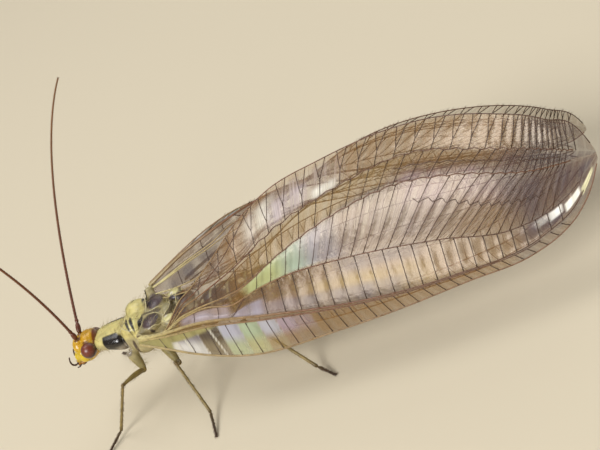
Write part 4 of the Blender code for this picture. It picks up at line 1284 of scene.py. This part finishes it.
def jointed(knots, radii, segments, sides=14, steps=70):
    """A tube through knots, pinched at each joint and swollen between them."""
    t = np.linspace(0, 1, steps)
    radius = np.interp(t, np.linspace(0, 1, len(radii)), radii)
    radius = radius * (.74 + .26 * np.sin(math.pi * (t * segments % 1)) ** .5)
    radius = radius * np.sqrt(np.clip((1 - t) * 18, .02, 1))
    return tube(smooth_path(knots, t), radius, sides)


PALPS = {       # knots on the level head, radii, number of segments
    "maxillary": (((.16, -4.07, 3.01), (.26, -4.21, 2.93), (.34, -4.34, 3.02), (.38, -4.37, 3.22),
                   (.38, -4.31, 3.46)), (.045, .048, .042, .030), 5),
    "labial": (((.08, -4.01, 2.85), (.13, -4.15, 2.74), (.18, -4.27, 2.73)),
               (.036, .036, .026), 3),
}


def make_mouthparts():
    """Jaws, lower lip and the jointed palps."""
    shapes = [lump((0, -3.92, 2.89), (.21, .17, .16))]
    shapes += both((.13, -4.10, 2.90), (.08, .085, .13), -15)
    points, faces = joined(*shapes)
    tones = painted(points, "#A8701C", ("#3A1808", 1 - ramp(2.80, 2.90, points[:, 2])))
    mouth = put_mesh("jaws", on_head(points), faces, MATERIALS["horn"], colours=tones)
    dress(mouth, "dark_brown", "mouthparts")
    for label, side in SIDES.items():
        points, faces = joined(*[jointed(np.array(knots) * (side, 1, 1), radii, segments)
                                 for knots, radii, segments in PALPS.values()])
        palp = put_mesh(f"palp_jointed_{label}", on_head(points), faces, MATERIALS["horn"],
                        colours=painted(points, "#3A1A0A"))
        dress(palp, "dark_brown", f"palp_{label}")


def leg_rod(start, end, radii, bow=0.0, steps=40, sides=16):
    """A leg piece: straight with a slight bow upwards, its radius read along its length."""
    t = np.linspace(0, 1, steps)
    path = start + (end - start) * t[:, None]
    path[:, 2] += bow * np.sin(math.pi * t)
    return tube(path, smooth_line(evenly(radii), t), sides)


def foot(ankle, toe):
    """A five-jointed tarsus that ends along the floor, two spurs at the ankle, and the claws."""
    t = np.linspace(0, 1, 80)
    path = ankle + (toe - ankle) * t[:, None]
    path[:, 2] = np.maximum(path[:, 2], .065)
    ring = np.interp(t, (0, .42, .57, .69, .8, 1), (0, 1, 2, 3, 4, 5)) % 1
    shapes = [tube(path, .055 * (.70 + .30 * np.sin(math.pi * ring**1.4) ** .5), 14)]
    way = unit(toe - ankle)
    side = np.cross(way, (0, 0, 1.0))
    for turn in (-1, 1):
        spur = (ankle, ankle + way * .12 + side * turn * .05, ankle + way * .22 + side * turn * .07)
        shapes.append(tube(spur, (.02, .014, .004), 8))
    return shapes + claws(ankle, path[-1])


def claws(ankle, toe):
    """Two curved claws and the pad between them at the end of a tarsus."""
    way = unit(toe - ankle) * (1, 1, 0)
    side = np.cross(way, (0, 0, 1.0))
    shapes = [lump(toe + way * .05 + (0, 0, .005), (.05, .05, .035), rows=10, columns=12)]
    for turn in (-1, 1):
        knots = (toe, toe + way * .07 + side * turn * .05 + (0, 0, .03),
                 toe + way * .12 + side * turn * .08 - (0, 0, .035))
        shapes.append(tube(smooth_path(knots, np.linspace(0, 1, 10)), np.linspace(.022, .005, 10), 8))
    return shapes


def make_legs():
    """Each leg from trochanter to claws: slim rods with knees, spurs and a five-jointed foot."""
    draw = np.random.default_rng(8)
    coats = []
    for number, (leg, joints) in enumerate(LEG_JOINTS.items()):
        top, knee, ankle, toe = np.array(joints[1:])
        points, faces = joined(
            lump(top + (knee - top) * .04, (.15, .15, .15), rows=16, columns=20),
            leg_rod(top, knee, (.09, .125, .115, .085, .075), bow=.05),
            lump(knee, (.085,) * 3, rows=16, columns=20),
            leg_rod(knee, ankle, (.065, .062, .060, .066, .075)),
            *foot(ankle, toe))
        near_knee = 1 - ramp(.10, .22, np.linalg.norm(points - knee, axis=-1))
        colours = painted(points, "#8E7A44", ("#3E2614", 1 - ramp(.15, .75, points[:, 2])),
                          ("#5A4424", near_knee * .7))
        piece = put_mesh(f"leg_{leg}", points, faces, MATERIALS["leg"], colours=colours)
        dress(piece, "leg_green", *[f"{part}_{leg}" for part in LEG_PIECES])
        coats += leg_hairs((top, knee, ankle, toe), number, draw)
    points, faces = joined(*[coat[:2] for coat in coats])
    uv = np.concatenate([coat[2] for coat in coats])
    dress(put_hairs("leg_hairs", points, faces, uv, "#5A4426"), "leg_brown")


LEG_HAIRS = ((110, .11), (220, .062), (150, .05))       # how many on each piece, and its radius


def leg_hairs(joints, number, draw):
    """Short hairs all round femur, tibia and tarsus, leaning towards the foot."""
    coats = []
    for k, (count, radius) in enumerate(LEG_HAIRS):
        start, end = joints[k], joints[k + 1]
        way = unit(end - start)
        t = draw.uniform(.04, .98, count)
        turn = draw.uniform(0, TAU, count)
        out = spokes(way, turn)
        roots = start + (end - start) * t[:, None] + out * radius * .85
        roots[:, 2] = np.maximum(roots[:, 2], .05)
        ways = unit(out * .55 + way)
        ways[:, 2] = np.where(roots[:, 2] < .2, np.maximum(ways[:, 2], 0), ways[:, 2])
        places = on_map((number + t) / len(LEG_JOINTS), (k + turn / TAU) / len(LEG_PIECES))
        coats.append(hairs(roots, ways, draw.uniform(.08, .16, count), .006, np.zeros(3), places))
    return coats


# ---------------------------------------------------------------- studio

def make_floor():
    """A plain pale floor under the feet."""
    half_width = 900.0
    corners = np.array(((-1, -1, 0), (1, -1, 0), (1, 1, 0), (-1, 1, 0))) * half_width
    put_mesh("floor", corners, np.array(((0, 1, 2, 3),)), floor_material())


def area_light(name, place, size, power):
    """A soft white square light that faces the insect's middle; size in mm, power in watts."""
    light = bpy.data.lights.new(name, "AREA")
    light.shape = "SQUARE"
    light.size = size * MM
    light.energy = power
    item = bpy.data.objects.new(name, light)
    spot_at = (np.array(place) + STAND) * MM
    aim = (TARGET + STAND) * MM - spot_at
    item.matrix_world = (Matrix.Translation(Vector(spot_at))
                         @ Vector(aim).to_track_quat("-Z", "Y").to_matrix().to_4x4())
    bpy.context.scene.collection.objects.link(item)


LIGHTS = {      # place and size in mm, power in watts
    "key": ((220, -64, 168), 110, .632),
    "top": ((-40, -60, 240), 160, .208),
    "fill": ((-180, 80, 140), 180, .088),
}


def make_lights():
    """Soft studio light: an even pale surround, a key from the insect's left and a broad fill."""
    world = bpy.data.worlds.new("studio")
    world.use_nodes = True
    background = world.node_tree.nodes["Background"]
    background.inputs["Color"].default_value = linear("#F2F0EC")
    background.inputs["Strength"].default_value = .33
    bpy.context.scene.world = world
    for name, light in LIGHTS.items():
        area_light(name, *light)


def make_camera():
    """A long lens at the named azimuth, elevation and roll, turned so the picture's middle fits."""
    az, el, roll = (math.radians(a) for a in (AZIMUTH, ELEVATION, ROLL))
    back = np.array((math.sin(az) * math.cos(el), -math.cos(az) * math.cos(el), math.sin(el)))
    right = unit(np.cross(-back, (0, 0, 1)))
    up = np.cross(right, -back)
    level = right * math.cos(roll) + up * math.sin(roll)
    risen = -right * math.sin(roll) + up * math.cos(roll)
    reach = PIXELS_PER_MM * DISTANCE
    aim = unit(-back + (PICTURE[0] / 2 - TARGET_PIXEL[0]) / reach * level
               - (PICTURE[1] / 2 - TARGET_PIXEL[1]) / reach * risen)
    level = unit(level - (level @ aim) * aim)
    risen = np.cross(level, aim)
    camera = bpy.data.cameras.new("camera")
    camera.sensor_width = SENSOR
    camera.lens = reach * SENSOR / PICTURE[0]
    camera.clip_start = 1 * MM
    camera.clip_end = 5.0
    item = bpy.data.objects.new("camera", camera)
    place = (TARGET + DISTANCE * back + STAND) * MM
    turn = Matrix((level, risen, -aim)).transposed().to_4x4()
    item.matrix_world = Matrix.Translation(Vector(place)) @ turn
    bpy.context.scene.collection.objects.link(item)
    bpy.context.scene.camera = item


make_camera()
make_lights()
make_floor()
make_wings()
make_body()
make_eyes()
make_antennae()
make_mouthparts()
make_legs()
